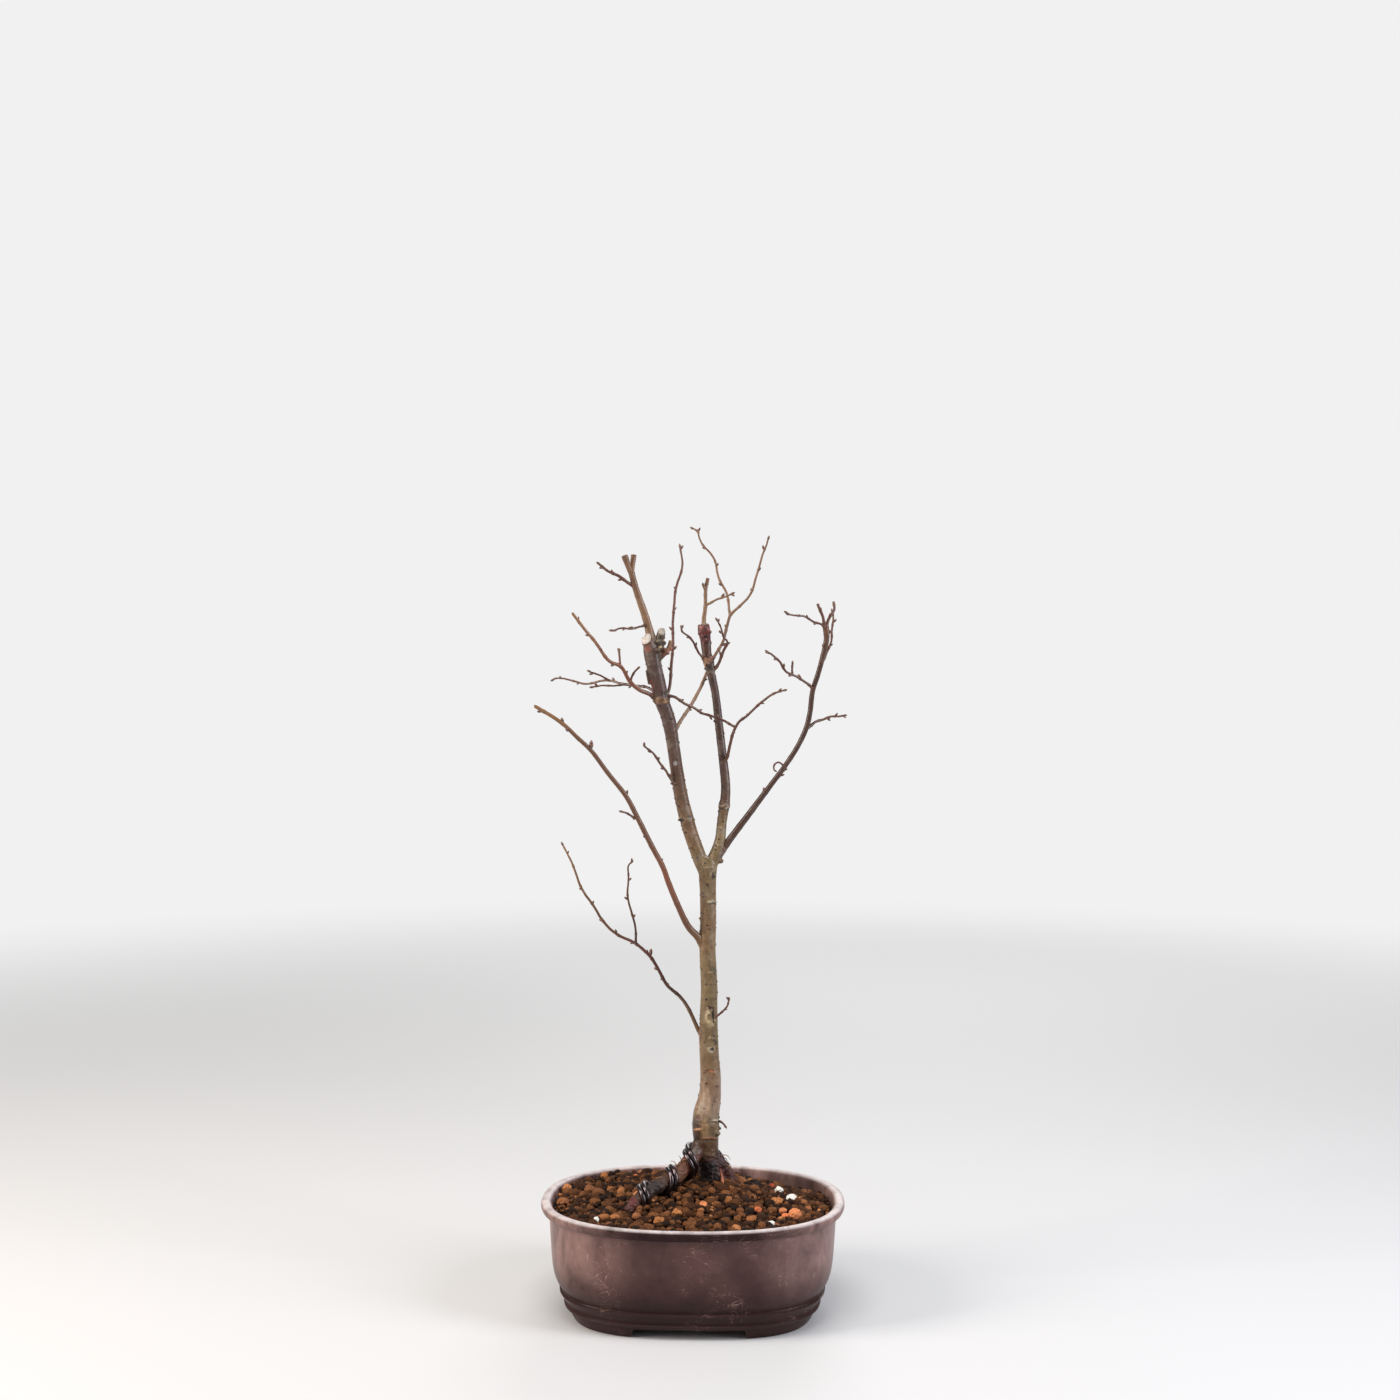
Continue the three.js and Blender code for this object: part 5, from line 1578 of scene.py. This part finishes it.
        for limb, samples in limbs:
            walked = 0.0
            side_turn = draw.choice((-1, 1))
            twist = draw.uniform(-0.6, 0.6)
            gap = self.spacing(samples) * draw.uniform(0.9, 1.1)
            for before, sample in zip(samples, samples[1:]):
                step = (sample.point - before.point).length
                node = int((walked + step) / gap - 0.5) > int(walked / gap - 0.5)
                walked += step
                missing = self.missing_on_thick if sample.radius > self.thick_shoot else self.missing_on_thin
                bare = walked < 6 or sample.radius > self.thickest_budding
                if not node or bare or draw.random() < missing:
                    continue
                side = sample.tangent.cross(Vector((0, -1, 0.2))).normalized() * side_turn
                side.rotate(Matrix.Rotation(twist + draw.uniform(-0.7, 0.7), 3, sample.tangent))
                side_turn = -side_turn
                lean = (sample.tangent * 1.15 + side).normalized()
                length = self.bud_length * draw.uniform(0.7, 1.15)
                put(sample.point + side * sample.radius * 0.55, lean, length)
                if draw.random() < 0.3:
                    other = (sample.tangent * 0.9 + side.cross(sample.tangent)).normalized()
                    put(sample.point + side * sample.radius * 0.5, other, length * 0.7)
            if not limb.cut:
                tip = samples[-1]
                put(tip.point - tip.tangent * 2.3, tip.tangent, self.bud_length)
        for across, up, depth, lean, length in LARGE_BUDS:
            put(FRONT.place(across, up, depth), Vector(lean).normalized(), length)
        joined = copies.joined("tree_buds")
        face_outwards(joined)
        return joined

    def warts(self, wood: Object, draw: Random) -> Object:
        """Copies small raised lenticels over the trunk and the leaders.

        Args:
            wood: The wood that carries them.
            draw: The random source.

        Returns:
            All the lenticels as one object.
        """
        pattern = ball(2)
        modify(pattern, "SMOOTH", factor=0.5, iterations=1)
        shape, faces = take_apart(pattern)
        points = rows_of(wood, "co") / MM
        normals = rows_of(wood, "normal")
        heights = points[:, 2]
        high = np.where((heights > self.lowest_lenticel) & (heights < self.highest_lenticel))[0]
        tones = ("#2c1d17", "#3c261c", "#4d3023", "#241a16", "#58402e")
        copies = Copies()
        placed: list[Vector] = []
        while len(placed) < self.lenticels:
            i = int(high[draw.randrange(len(high))])
            place = Vector(points[i])
            if any((place - other).length < self.lenticel_gap for other in placed[-60:]):
                continue
            placed.append(place)
            outward = Vector(normals[i]).normalized()
            level = outward.cross(Vector((0, 0, 1))).normalized()
            upward = outward.cross(level)
            matrix = np.array([level, upward, outward])
            size = draw.uniform(0.45, 1.0)
            stretch = (draw.uniform(1.0, 1.5), draw.uniform(0.6, 0.9), 0.55)
            scaled = shape * (size * np.array(stretch))
            tint = np.array(linear_from_hex(draw.choice(tones))[:3])
            copies.add(scaled @ matrix + np.array(place), faces, tint)
        joined = copies.joined("tree_lenticels", "bark_colour")
        face_outwards(joined)
        return joined

    def keep_reach(self, obj: Object) -> None:
        """Holds tips to the tree's measured reach to the left, right and top, in millimetres."""
        points = rows_of(obj, "co") / MM
        points[:, 0] = np.clip(points[:, 0], -self.left_reach, self.right_reach)
        points[:, 2] = np.minimum(points[:, 2], self.top_reach)
        move_corners(obj, points)

    def root_hairs(self, draw: Random) -> list[list[Sample]]:
        """Grows fine dry rootlets from the foot of the trunk and the wired root.

        Args:
            draw: The random source.

        Returns:
            Each rootlet's samples.
        """
        hairs = []
        for j, (start, (across, up, depth)) in enumerate(HAIR_STARTS):
            point = FRONT.place(*start)
            way = Vector((across, depth, up)).normalized()
            colour = linear_from_hex((Tone.ROOT if j % 3 else Tone.OLIVE_TAN).value)[:3]
            samples = []
            steps = draw.randint(8, 13)
            for i in range(steps):
                radius = self.hair_radius * (1 - 0.65 * i / (steps - 1))
                samples.append(Sample(point.copy(), way.copy(), radius, colour))
                way += Vector((draw.uniform(-0.3, 0.3), draw.uniform(-0.3, 0.3), draw.uniform(-0.45, 0.15)))
                way.normalize()
                point += way * 0.7
            hairs.append(samples)
        return hairs

    def build(
        self, bark: Material, shoot_bark: Material, scales: Material
    ) -> None:
        """Builds the tree's pieces and puts them in the tree's place.

        Args:
            bark: The finish of the wood.
            shoot_bark: The finish of the branches and twigs.
            scales: The finish of the buds.
        """
        draw = Random(self.seed)
        branches = [RIGHT_BRANCH, LEFT_BRANCH, LOWER_BRANCH, STUBS["left_shoot"], STUBS["middle_shoot"]]
        stubs = [limb for limb in STUBS.values() if limb not in branches]
        collared = ("outer_twig", "upright_twig", "crossing_stem", "front_twig", "back_twig")
        collars = [limb.collar() for limb in (*branches, *(TWIGS[name] for name in collared))]
        main = [TRUNK, LEFT_LEADER, MIDDLE_LEADER, WIRED_ROOT, RIGHT_ROOT, BACK_ROOT, *stubs, *collars]
        main_samples = [limb.samples(1.2) for limb in main]
        wood = self.tube_object("tree_wood", main_samples, 28)
        beads = self.knobs()
        pick(wood)
        for bead in beads:
            bead.select_set(True)
        bpy.ops.object.join()
        modify(wood, "REMESH", mode="VOXEL", voxel_size=self.voxel * MM, adaptivity=0.0)
        modify(wood, "SMOOTH", factor=0.5, iterations=4)
        self.weather(wood, 0.30, 7.0, 0.62)
        self.paint(wood, main_samples, MARKS, CUTS)
        set_out(wood, bark, 60, "bark", "tree")
        set_out(self.warts(wood, draw), bark, 60, "bark", "tree")

        limbs = [*branches, *TWIGS.values()]
        bent = [self.knuckled(limb.samples(1.0), draw) for limb in limbs]
        every = [*bent, THIN_ROOT.samples(1.0), *self.root_hairs(draw)]
        shoots = self.tube_object("tree_branches", every, 14)
        face_outwards(shoots)
        self.weather(shoots, 0.05, 3.0, 0.0)
        self.keep_reach(shoots)
        self.paint(shoots, every)
        set_out(shoots, shoot_bark, 60, "bark", "tree")

        budding = [(limb, samples) for limb, samples in zip(limbs, bent) if limb.budding]
        buds = self.buds(budding, draw)
        self.keep_reach(buds)
        set_out(buds, scales, 50, "bark", "tree")


# The training wire


@dataclass
class TrainingWire:
    """Two strands of dark aluminium wire, behind the trunk's foot and wound round the left root."""

    radius: float = 1.65
    spacing: float = 3.5
    wrap_step: float = 10.0
    approach: tuple[tuple[float, float, float], ...] = (
        (18, 74, 46.5), (19.6, 88, 44.5), (21.2, 98, 40), (20, 104, 35.6), (14, 108, 34), (5, 109.6, 33),
        (-2.4, 110, 28.5), (-6.6, 109.8, 20),
    )
    wrap: tuple[tuple[float, float], ...] = (
        (14.8, 0), (21.3, 135), (26.2, 200), (34.3, 360), (44, 540), (59.9, 720), (68.2, 900), (69.9, 945),
    )

    def route(self) -> tuple[list[Vector], list[Vector]]:
        """Finds the pair's middle line.

        Returns:
            Its points in millimetres, and the outward direction at each.
        """
        trunk_middle = FRONT.place(9.6, 110, 21)
        points = [FRONT.place(*spot) for spot in self.approach]
        outward = [((p - trunk_middle) * Vector((1, 1, 0))).normalized() for p in points]
        root = WIRED_ROOT.samples(0.5)
        walked = lengths_along([sample.point for sample in root])
        last = self.wrap[-1][1]
        angles = [turn for _, turn in self.wrap]
        alongs = [along for along, _ in self.wrap]
        for step in range(int(last / self.wrap_step) + 1):
            angle = step * self.wrap_step
            along = float(np.interp(angle, angles, alongs))
            i = min(max(int(np.searchsorted(walked, along)), 1), len(root) - 1)
            share = (along - walked[i - 1]) / (walked[i] - walked[i - 1])
            middle = root[i - 1].point.lerp(root[i].point, share)
            heading = root[i - 1].tangent.lerp(root[i].tangent, share).normalized()
            thick = root[i - 1].radius + (root[i].radius - root[i - 1].radius) * share
            top = (Vector((0, 0, 1)) - heading * heading.z).normalized()
            front = top.cross(heading)
            away = top * math.cos(math.radians(angle)) + front * math.sin(math.radians(angle))
            points.append(middle + away * (thick * 1.04 + self.radius + 0.2))
            outward.append(away)
        # A drawn wire has no kinks: each point is eased between its neighbours.
        for _ in range(2):
            for line in (points, outward):
                eased = [(a + 2 * b + c) / 4 for a, b, c in zip(line, line[1:], line[2:])]
                line[1:-1] = eased
        return points, [away.normalized() for away in outward]

    def strand(self, name: str, side: int, node: str, material: Material) -> None:
        """Builds one strand.

        Args:
            name: The piece's name.
            side: Which side of the pair it lies on, 1 or -1.
            node: The CAD node that it stands for.
            material: Its finish.
        """
        points, outward = self.route()
        count = len(points)
        shifted = []
        for i in range(count):
            tangent = (points[min(i + 1, count - 1)] - points[max(i - 1, 0)]).normalized()
            across = tangent.cross(outward[i]).normalized()
            shifted.append(points[i] + across * (side * self.spacing / 2))
        deselect_all()
        line = bpy.data.curves.new(name, "CURVE")
        line.dimensions = "3D"
        line.bevel_depth = self.radius * MM
        line.bevel_resolution = 8
        line.use_fill_caps = True
        line.resolution_u = 6
        spline = line.splines.new("BEZIER")
        spline.bezier_points.add(count - 1)
        for knot, point in zip(spline.bezier_points, shifted):
            knot.co = point * MM
            knot.handle_left_type = "AUTO"
            knot.handle_right_type = "AUTO"
        wire = mesh_of(line)
        face_outwards(wire)
        set_out(wire, material, 40, "wire", node)

    def build(self, material: Material) -> None:
        """Builds both strands."""
        self.strand("training_wire_1", 1, "root_wire_1", material)
        self.strand("training_wire_2", -1, "root_wire_2", material)


# The soil


class Grain(Enum):
    """The kinds of grain in the mix, each with its palette of colours."""

    DARK = ("#211208", "#301a0c", "#422612", "#533219", "#674024")
    TAN = ("#9a643b", "#8a5733", "#a67146", "#7e5032")
    ORANGE = ("#c87046", "#b5623d", "#b9744c")
    RED = ("#b04c30",)
    PUMICE = ("#d3d0c0",)


# The larger pale grains that show on the surface: x, y, radius and kind.
PALE_GRAINS = (
    (-62.8, -45.1, 2.6, Grain.PUMICE), (60, 17.2, 3.4, Grain.PUMICE), (68, 4.2, 3.2, Grain.PUMICE),
    (53.8, -43.6, 2.7, Grain.PUMICE), (55, 28.8, 2.9, Grain.RED), (8.1, -23.2, 2.8, Grain.ORANGE),
    (25.3, -14.6, 3, Grain.TAN), (45, -24.4, 2.9, Grain.ORANGE), (70.5, -26.7, 4.2, Grain.ORANGE),
    (58.3, -6.6, 3.4, Grain.TAN), (62, -20.5, 2.5, Grain.ORANGE), (63.9, -28.4, 2.4, Grain.ORANGE),
    (-9.3, -34.1, 3.1, Grain.TAN), (-90.2, 19.2, 3.6, Grain.TAN), (-73.7, 14.6, 3.9, Grain.TAN),
    (-89.4, -8.3, 3.4, Grain.TAN), (-50.4, 6.9, 3.4, Grain.TAN), (-57.9, -41.1, 3.4, Grain.TAN),
    (-51.1, -40.9, 3.2, Grain.TAN), (-36.9, -37.4, 3.3, Grain.TAN), (-20.8, -45.8, 3.4, Grain.TAN),
    (-40.8, 58, 2.8, Grain.TAN), (-43.2, 39.9, 2.4, Grain.ORANGE), (40, 44, 3, Grain.TAN),
    (78, 34, 2.6, Grain.TAN), (-14, 55, 3, Grain.ORANGE), (18, 62, 2.8, Grain.TAN), (-66, 46, 3, Grain.TAN),
)


@dataclass
class Soil:
    """The heap of soil: a bed that fills the pot, and the loose grains of its surface."""

    mound_top: float = 81.0
    edge: float = 69.3
    wall_half_width: float = 96.2
    bed_top: float = 66.0
    bed_half_width: float = 95.8
    bed_rings: int = 52
    bed_depth: float = 2.6
    shapes: int = 6
    grain_pitch: float = 4.9
    crumb_pitch: float = 4.3
    pale_share: float = 0.05
    seed: int = 7

    def height(self, x: float, y: float) -> float:
        """Returns the height of the heap in millimetres."""
        # One broad mound, a heaped spot at the back left and a sunk one at the back right.
        spread = min(math.hypot((x - 8) / 100, (y - 14) / 78), 1)
        mound = (self.mound_top - self.edge) * (0.5 + 0.5 * math.cos(math.pi * spread**0.9))
        heaped = 2.6 * math.exp(-(((x + 72) / 34) ** 2) - ((y - 42) / 30) ** 2)
        sunk = 4.4 * math.exp(-(((x - 62) / 40) ** 2) - ((y - 52) / 26) ** 2)
        return self.edge - 0.016 * x + mound + heaped - sunk

    def bed(self, material: Material) -> None:
        """Builds the bed under the loose grains.

        Args:
            material: The finish of the soil.
        """
        top, widest = self.bed_top, self.bed_half_width
        walls = [(4, 10.4), (77, 10.4), (85.6, 15.2), (91.2, 25), (93.9, 36), (94.8, 45), (95.4, 55)]
        surface = [(widest * (1 - i / self.bed_rings), top + 1) for i in range(1, self.bed_rings)]
        bed = loft("soil_bed", [*walls, (widest, top), *surface], 144)
        OVAL.shape(bed)
        for corner in bed.data.vertices:
            x, y, z = corner.co / MM
            if z > top - 0.5:
                rough = 0.9 * noise.noise(Vector((x, y, 0)) / 2.4)
                corner.co.z = (self.height(x, y) - self.bed_depth + rough) * MM
        face_outwards(bed)
        dark = np.array(linear_from_hex("#24160f")[:3])
        store_colour(bed, "grain_colour", np.tile(dark, (len(bed.data.vertices), 1)))
        set_out(bed, material, 60, "soil", "soil")

    def patterns(self, detail: int) -> list[tuple[np.ndarray, np.ndarray]]:
        """Models a few different crumbly grains, of radius one, to be copied.

        Args:
            detail: The ball's subdivisions, 2 for the many grains and 4 for the large ones.

        Returns:
            Corners and faces of each grain.
        """
        result = []
        for i in range(self.shapes):
            grain = ball(detail)
            lumps = bpy.data.textures.new("grain_lumps", "VORONOI" if i % 2 else "CLOUDS")
            lumps.noise_scale = 0.75 + 0.12 * i
            bpy.ops.object.mode_set(mode="EDIT")
            bpy.ops.mesh.select_all(action="SELECT")
            bpy.ops.transform.rotate(value=0.7 * i, orient_axis="X", center_override=(0, 0, 0))
            bpy.ops.object.mode_set(mode="OBJECT")
            modify(grain, "DISPLACE", texture=lumps, strength=0.78, mid_level=0.5)
            result.append(take_apart(grain))
        return result

    def grains(
        self,
        name: str,
        places: list[tuple[float, float, float, float, str]],
        patterns: list[tuple[np.ndarray, np.ndarray]],
        draw: Random,
        material: Material,
    ) -> None:
        """Copies grains to their places as one piece.

        Args:
            name: The piece's name.
            places: X, Y, Z, radius and hex colour of each grain, in millimetres.
            patterns: The modelled grains.
            draw: The random source.
            material: Their finish.
        """
        copies = Copies()
        for x, y, z, radius, code in places:
            shape, faces = draw.choice(patterns)
            turn = Euler([draw.uniform(0, math.tau) for _ in range(3)]).to_matrix()
            stretch = np.array([draw.uniform(0.82, 1.22), draw.uniform(0.82, 1.12), draw.uniform(0.72, 1.0)])
            points = (shape @ np.array(turn).T) * stretch * radius + np.array((x, y, z))
            tint = np.array(linear_from_hex(code)[:3]) * draw.uniform(0.8, 1.2)
            copies.add(points, faces, tint)
        set_out(copies.joined(name, "grain_colour"), material, None, "soil", "soil")

    def free_place(
        self, x: float, y: float, radius: float, wood: kdtree.KDTree, samples: list[Sample]
    ) -> bool:
        """Tells if a grain is clear of the wall and of the wood.

        Args:
            x: Its place across the pot, in millimetres.
            y: Its place in depth, in millimetres.
            radius: Its radius, in millimetres.
            wood: The search tree over the samples.
            samples: Points along the limbs that stand in the soil.

        Returns:
            Whether it is clear.
        """
        z = self.height(x, y)
        if not OVAL.holds(x, y, z, self.wall_half_width - radius):
            return False
        _, i, distance = wood.find(Vector((x, y, z)))
        return distance > samples[i].radius + 0.1 * radius

    def scatter(self, pitch: float, jitter: float, draw: Random) -> list[tuple[float, float]]:
        """Spreads places over the pot on a shaken triangular grid.

        Args:
            pitch: The distance between neighbours, in millimetres.
            jitter: How far each may stray, in millimetres.
            draw: The random source.

        Returns:
            X and Y of each place.
        """
        places = []
        row_depth = pitch * math.sqrt(0.75)
        rows = int(OVAL.rim_half_depth / row_depth)
        columns = int(OVAL.rim_half_width / pitch) + 1
        for row in range(-rows, rows + 1):
            for column in range(-columns, columns + 1):
                x = (column + 0.5 * (row % 2)) * pitch + draw.uniform(-jitter, jitter)
                places.append((x, row * row_depth + draw.uniform(-jitter, jitter)))
        return places

    def build(self, material: Material, pumice: Material) -> None:
        """Builds the bed and the grains and puts them in the soil's place.

        Args:
            material: The finish of the bed and the brown grains.
            pumice: The finish of the white grains.
        """
        draw = Random(self.seed)
        self.bed(material)
        samples = [s for limb in (TRUNK, WIRED_ROOT, RIGHT_ROOT, BACK_ROOT) for s in limb.samples(1.5)]
        wood = search_tree([sample.point for sample in samples])

        large, white = [], []
        for x, y, radius, kind in PALE_GRAINS:
            grain = (x, y, self.height(x, y) + 0.45 * radius, radius, draw.choice(kind.value))
            (white if kind is Grain.PUMICE else large).append(grain)
        taken = search_tree([Vector((x, y, 0)) for x, y, _, _ in PALE_GRAINS])
        common = []
        for x, y in self.scatter(self.grain_pitch, 1.5, draw):
            radius = draw.choice((1.9, 2.2, 2.5, 2.8, 3.2, 3.7, 4.2))
            _, i, distance = taken.find((x, y, 0))
            if self.free_place(x, y, radius, wood, samples) and distance > PALE_GRAINS[i][2] * 0.9:
                kind = Grain.TAN if draw.random() < self.pale_share else Grain.DARK
                z = self.height(x, y) + draw.uniform(-1.6, 1.1) - 0.25 * (radius - 2.5)
                common.append((x, y, z, radius, draw.choice(kind.value)))
        fine = []
        for x, y in self.scatter(self.crumb_pitch, 1.9, draw):
            radius = draw.uniform(0.8, 1.6)
            if self.free_place(x, y, radius, wood, samples):
                kind = Grain.TAN if draw.random() < self.pale_share else Grain.DARK
                z = self.height(x, y) + draw.uniform(-0.6, 1.5)
                fine.append((x, y, z, radius, draw.choice(kind.value)))
        plain = self.patterns(2)
        self.grains("soil_grains", common, plain, draw, material)
        self.grains("soil_crumbs", fine, plain, draw, material)
        detailed = self.patterns(4)
        self.grains("soil_pale_grains", large, detailed, draw, material)
        self.grains("soil_pumice_grains", white, detailed, draw, pumice)


# The drainage meshes


@dataclass
class DrainMesh:
    """A moulded mesh square that keeps the soil in over a drainage hole."""

    side: float = 26.0
    thick: float = 1.0
    bars: int = 3
    bar_width: float = 1.6
    height: float = 10.8

    def build(self, name: str, node: str, x: float, material: Material) -> None:
        """Builds one mesh square over its hole and puts it in its node's place.

        Args:
            name: The piece's name.
            node: The CAD node that it stands for.
            x: The hole's place across the pot, in millimetres.
            material: Its finish.
        """
        deselect_all()
        span = (self.side - self.bar_width) * MM
        middle = (x * MM, 0, self.height * MM)
        bpy.ops.mesh.primitive_grid_add(
            x_subdivisions=self.bars, y_subdivisions=self.bars, size=span, location=middle
        )
        mesh = bpy.context.object
        mesh.name = name
        bake_place(mesh)
        whole = {"use_even_offset": True, "use_boundary": True, "use_replace": True}
        modify(mesh, "WIREFRAME", thickness=self.bar_width * MM, **whole)
        pick(mesh)
        bpy.ops.object.mode_set(mode="EDIT")
        bpy.ops.mesh.select_all(action="SELECT")
        flat = self.thick / self.bar_width
        bpy.ops.transform.resize(value=(1, 1, flat), center_override=middle)
        bpy.ops.object.mode_set(mode="OBJECT")
        face_outwards(mesh)
        modify(mesh, "BEVEL", width=0.00018, segments=2, limit_method="ANGLE", angle_limit=0.6)
        set_out(mesh, material, 40, "drain_mesh", node)


# The studio


@dataclass
class Studio:
    """A plain pale floor, soft lights and a camera at the front from which the tree is seen."""

    lens: float = 42.17
    sensor: float = 36.0
    camera_place: tuple[float, float, float] = (0.0467, -1.140, 0.420)
    background: str = "#f1f1f1"
    room_light: float = 0.27

    def light(self, name: str, place: Vector, size: tuple[float, float], power: float, colour: str) -> None:
        """Hangs one soft rectangular light that points at the tree.

        Args:
            name: The light's name.
            place: Where it hangs, in metres.
            size: Its width and height, in metres.
            power: Its power, in watts.
            colour: Its colour.
        """
        lamp = bpy.data.lights.new(name, "AREA")
        lamp.shape = "RECTANGLE"
        lamp.size, lamp.size_y = size
        lamp.energy = power
        lamp.color = linear_from_hex(colour)[:3]
        obj = bpy.data.objects.new(name, lamp)
        obj.location = place
        aim = Vector((0, 0, 0.24))
        obj.rotation_euler = (aim - place).to_track_quat("-Z", "Y").to_euler()
        bpy.context.scene.collection.objects.link(obj)

    def floor(self, material: Material) -> None:
        """Lays the round floor."""
        deselect_all()
        bpy.ops.mesh.primitive_circle_add(vertices=96, radius=6.0, fill_type="NGON", location=(0, 0, -0.0002))
        floor = bpy.context.object
        floor.name = "studio_floor"
        bake_place(floor)
        dress(floor, material)

    def room(self) -> None:
        """Makes the pale room: bright as a background, dimmer as a light, so that forms keep shade."""
        world = bpy.data.worlds.new("pale_room")
        world.use_nodes = True
        tree = world.node_tree
        seen = tree.nodes["Background"]
        seen.inputs["Color"].default_value = linear_from_hex(self.background)
        fill = add_node(tree, Kind.BACKGROUND, {"Color": "#ffffff", "Strength": self.room_light})
        straight = add_node(tree, Kind.LIGHT_PATH).outputs["Is Camera Ray"]
        both = add_node(tree, Kind.MIX_SHADERS, {}, {0: straight, 1: fill, 2: seen})
        set_node(tree.nodes["World Output"], {}, {"Surface": both})
        bpy.context.scene.world = world

    def build(self, floor_material: Material) -> None:
        """Builds the camera, the lights, the floor and the background.

        Args:
            floor_material: The finish of the floor.
        """
        scene = bpy.context.scene
        lens = bpy.data.cameras.new("front_camera")
        lens.lens = self.lens
        lens.sensor_width = self.sensor
        lens.clip_end = 50
        camera = bpy.data.objects.new("front_camera", lens)
        camera.location = self.camera_place
        camera.rotation_euler = (math.pi / 2, 0, math.radians(FRONT.turn))
        scene.collection.objects.link(camera)
        scene.camera = camera
        scene.view_settings.view_transform = "Standard"
        self.room()
        self.floor(floor_material)
        self.light("left_softbox", Vector((-1.3, -0.5, 0.8)), (0.5, 1.1), 26.5, "#fff4ea")
        self.light("right_softbox", Vector((1.3, -0.5, 0.8)), (0.5, 1.1), 22, "#f3f5ff")
        self.light("top_softbox", Vector((-0.1, -0.45, 1.6)), (0.8, 0.8), 13, "#ffffff")
        self.light("back_softbox", Vector((0.3, 1.5, 0.9)), (1.0, 0.8), 9, "#ffffff")


def main() -> None:
    """Builds every sub-assembly in order."""
    logging.basicConfig(level=logging.INFO, format="%(name)s: %(message)s")
    Studio().build(StudioFloor("studio_paper").material())
    pot = Pot()
    pot.build(WornPolypropylene("worn_moulded_polypropylene").material())
    Soil().build(
        MoistClayGrain("moist_baked_clay_grain").material(), SpeckledPumice("speckled_pumice").material()
    )
    Tree().build(
        ZelkovaBark("smooth_zelkova_bark").material(),
        ZelkovaBark("young_zelkova_shoot_bark", mottle=0.14, dry_roughness=0.30).material(),
        BudScales("dry_bud_scales").material(),
    )
    TrainingWire().build(AnodisedAluminium("dark_anodised_aluminium").material())
    mesh_finish = MouldedPolyethylene("moulded_polyethylene_mesh").material()
    DrainMesh().build("drain_mesh_square_left", "drain_mesh_left", -pot.drain_x, mesh_finish)
    DrainMesh().build("drain_mesh_square_right", "drain_mesh_right", pot.drain_x, mesh_finish)
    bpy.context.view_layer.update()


if __name__ == "__main__":
    main()
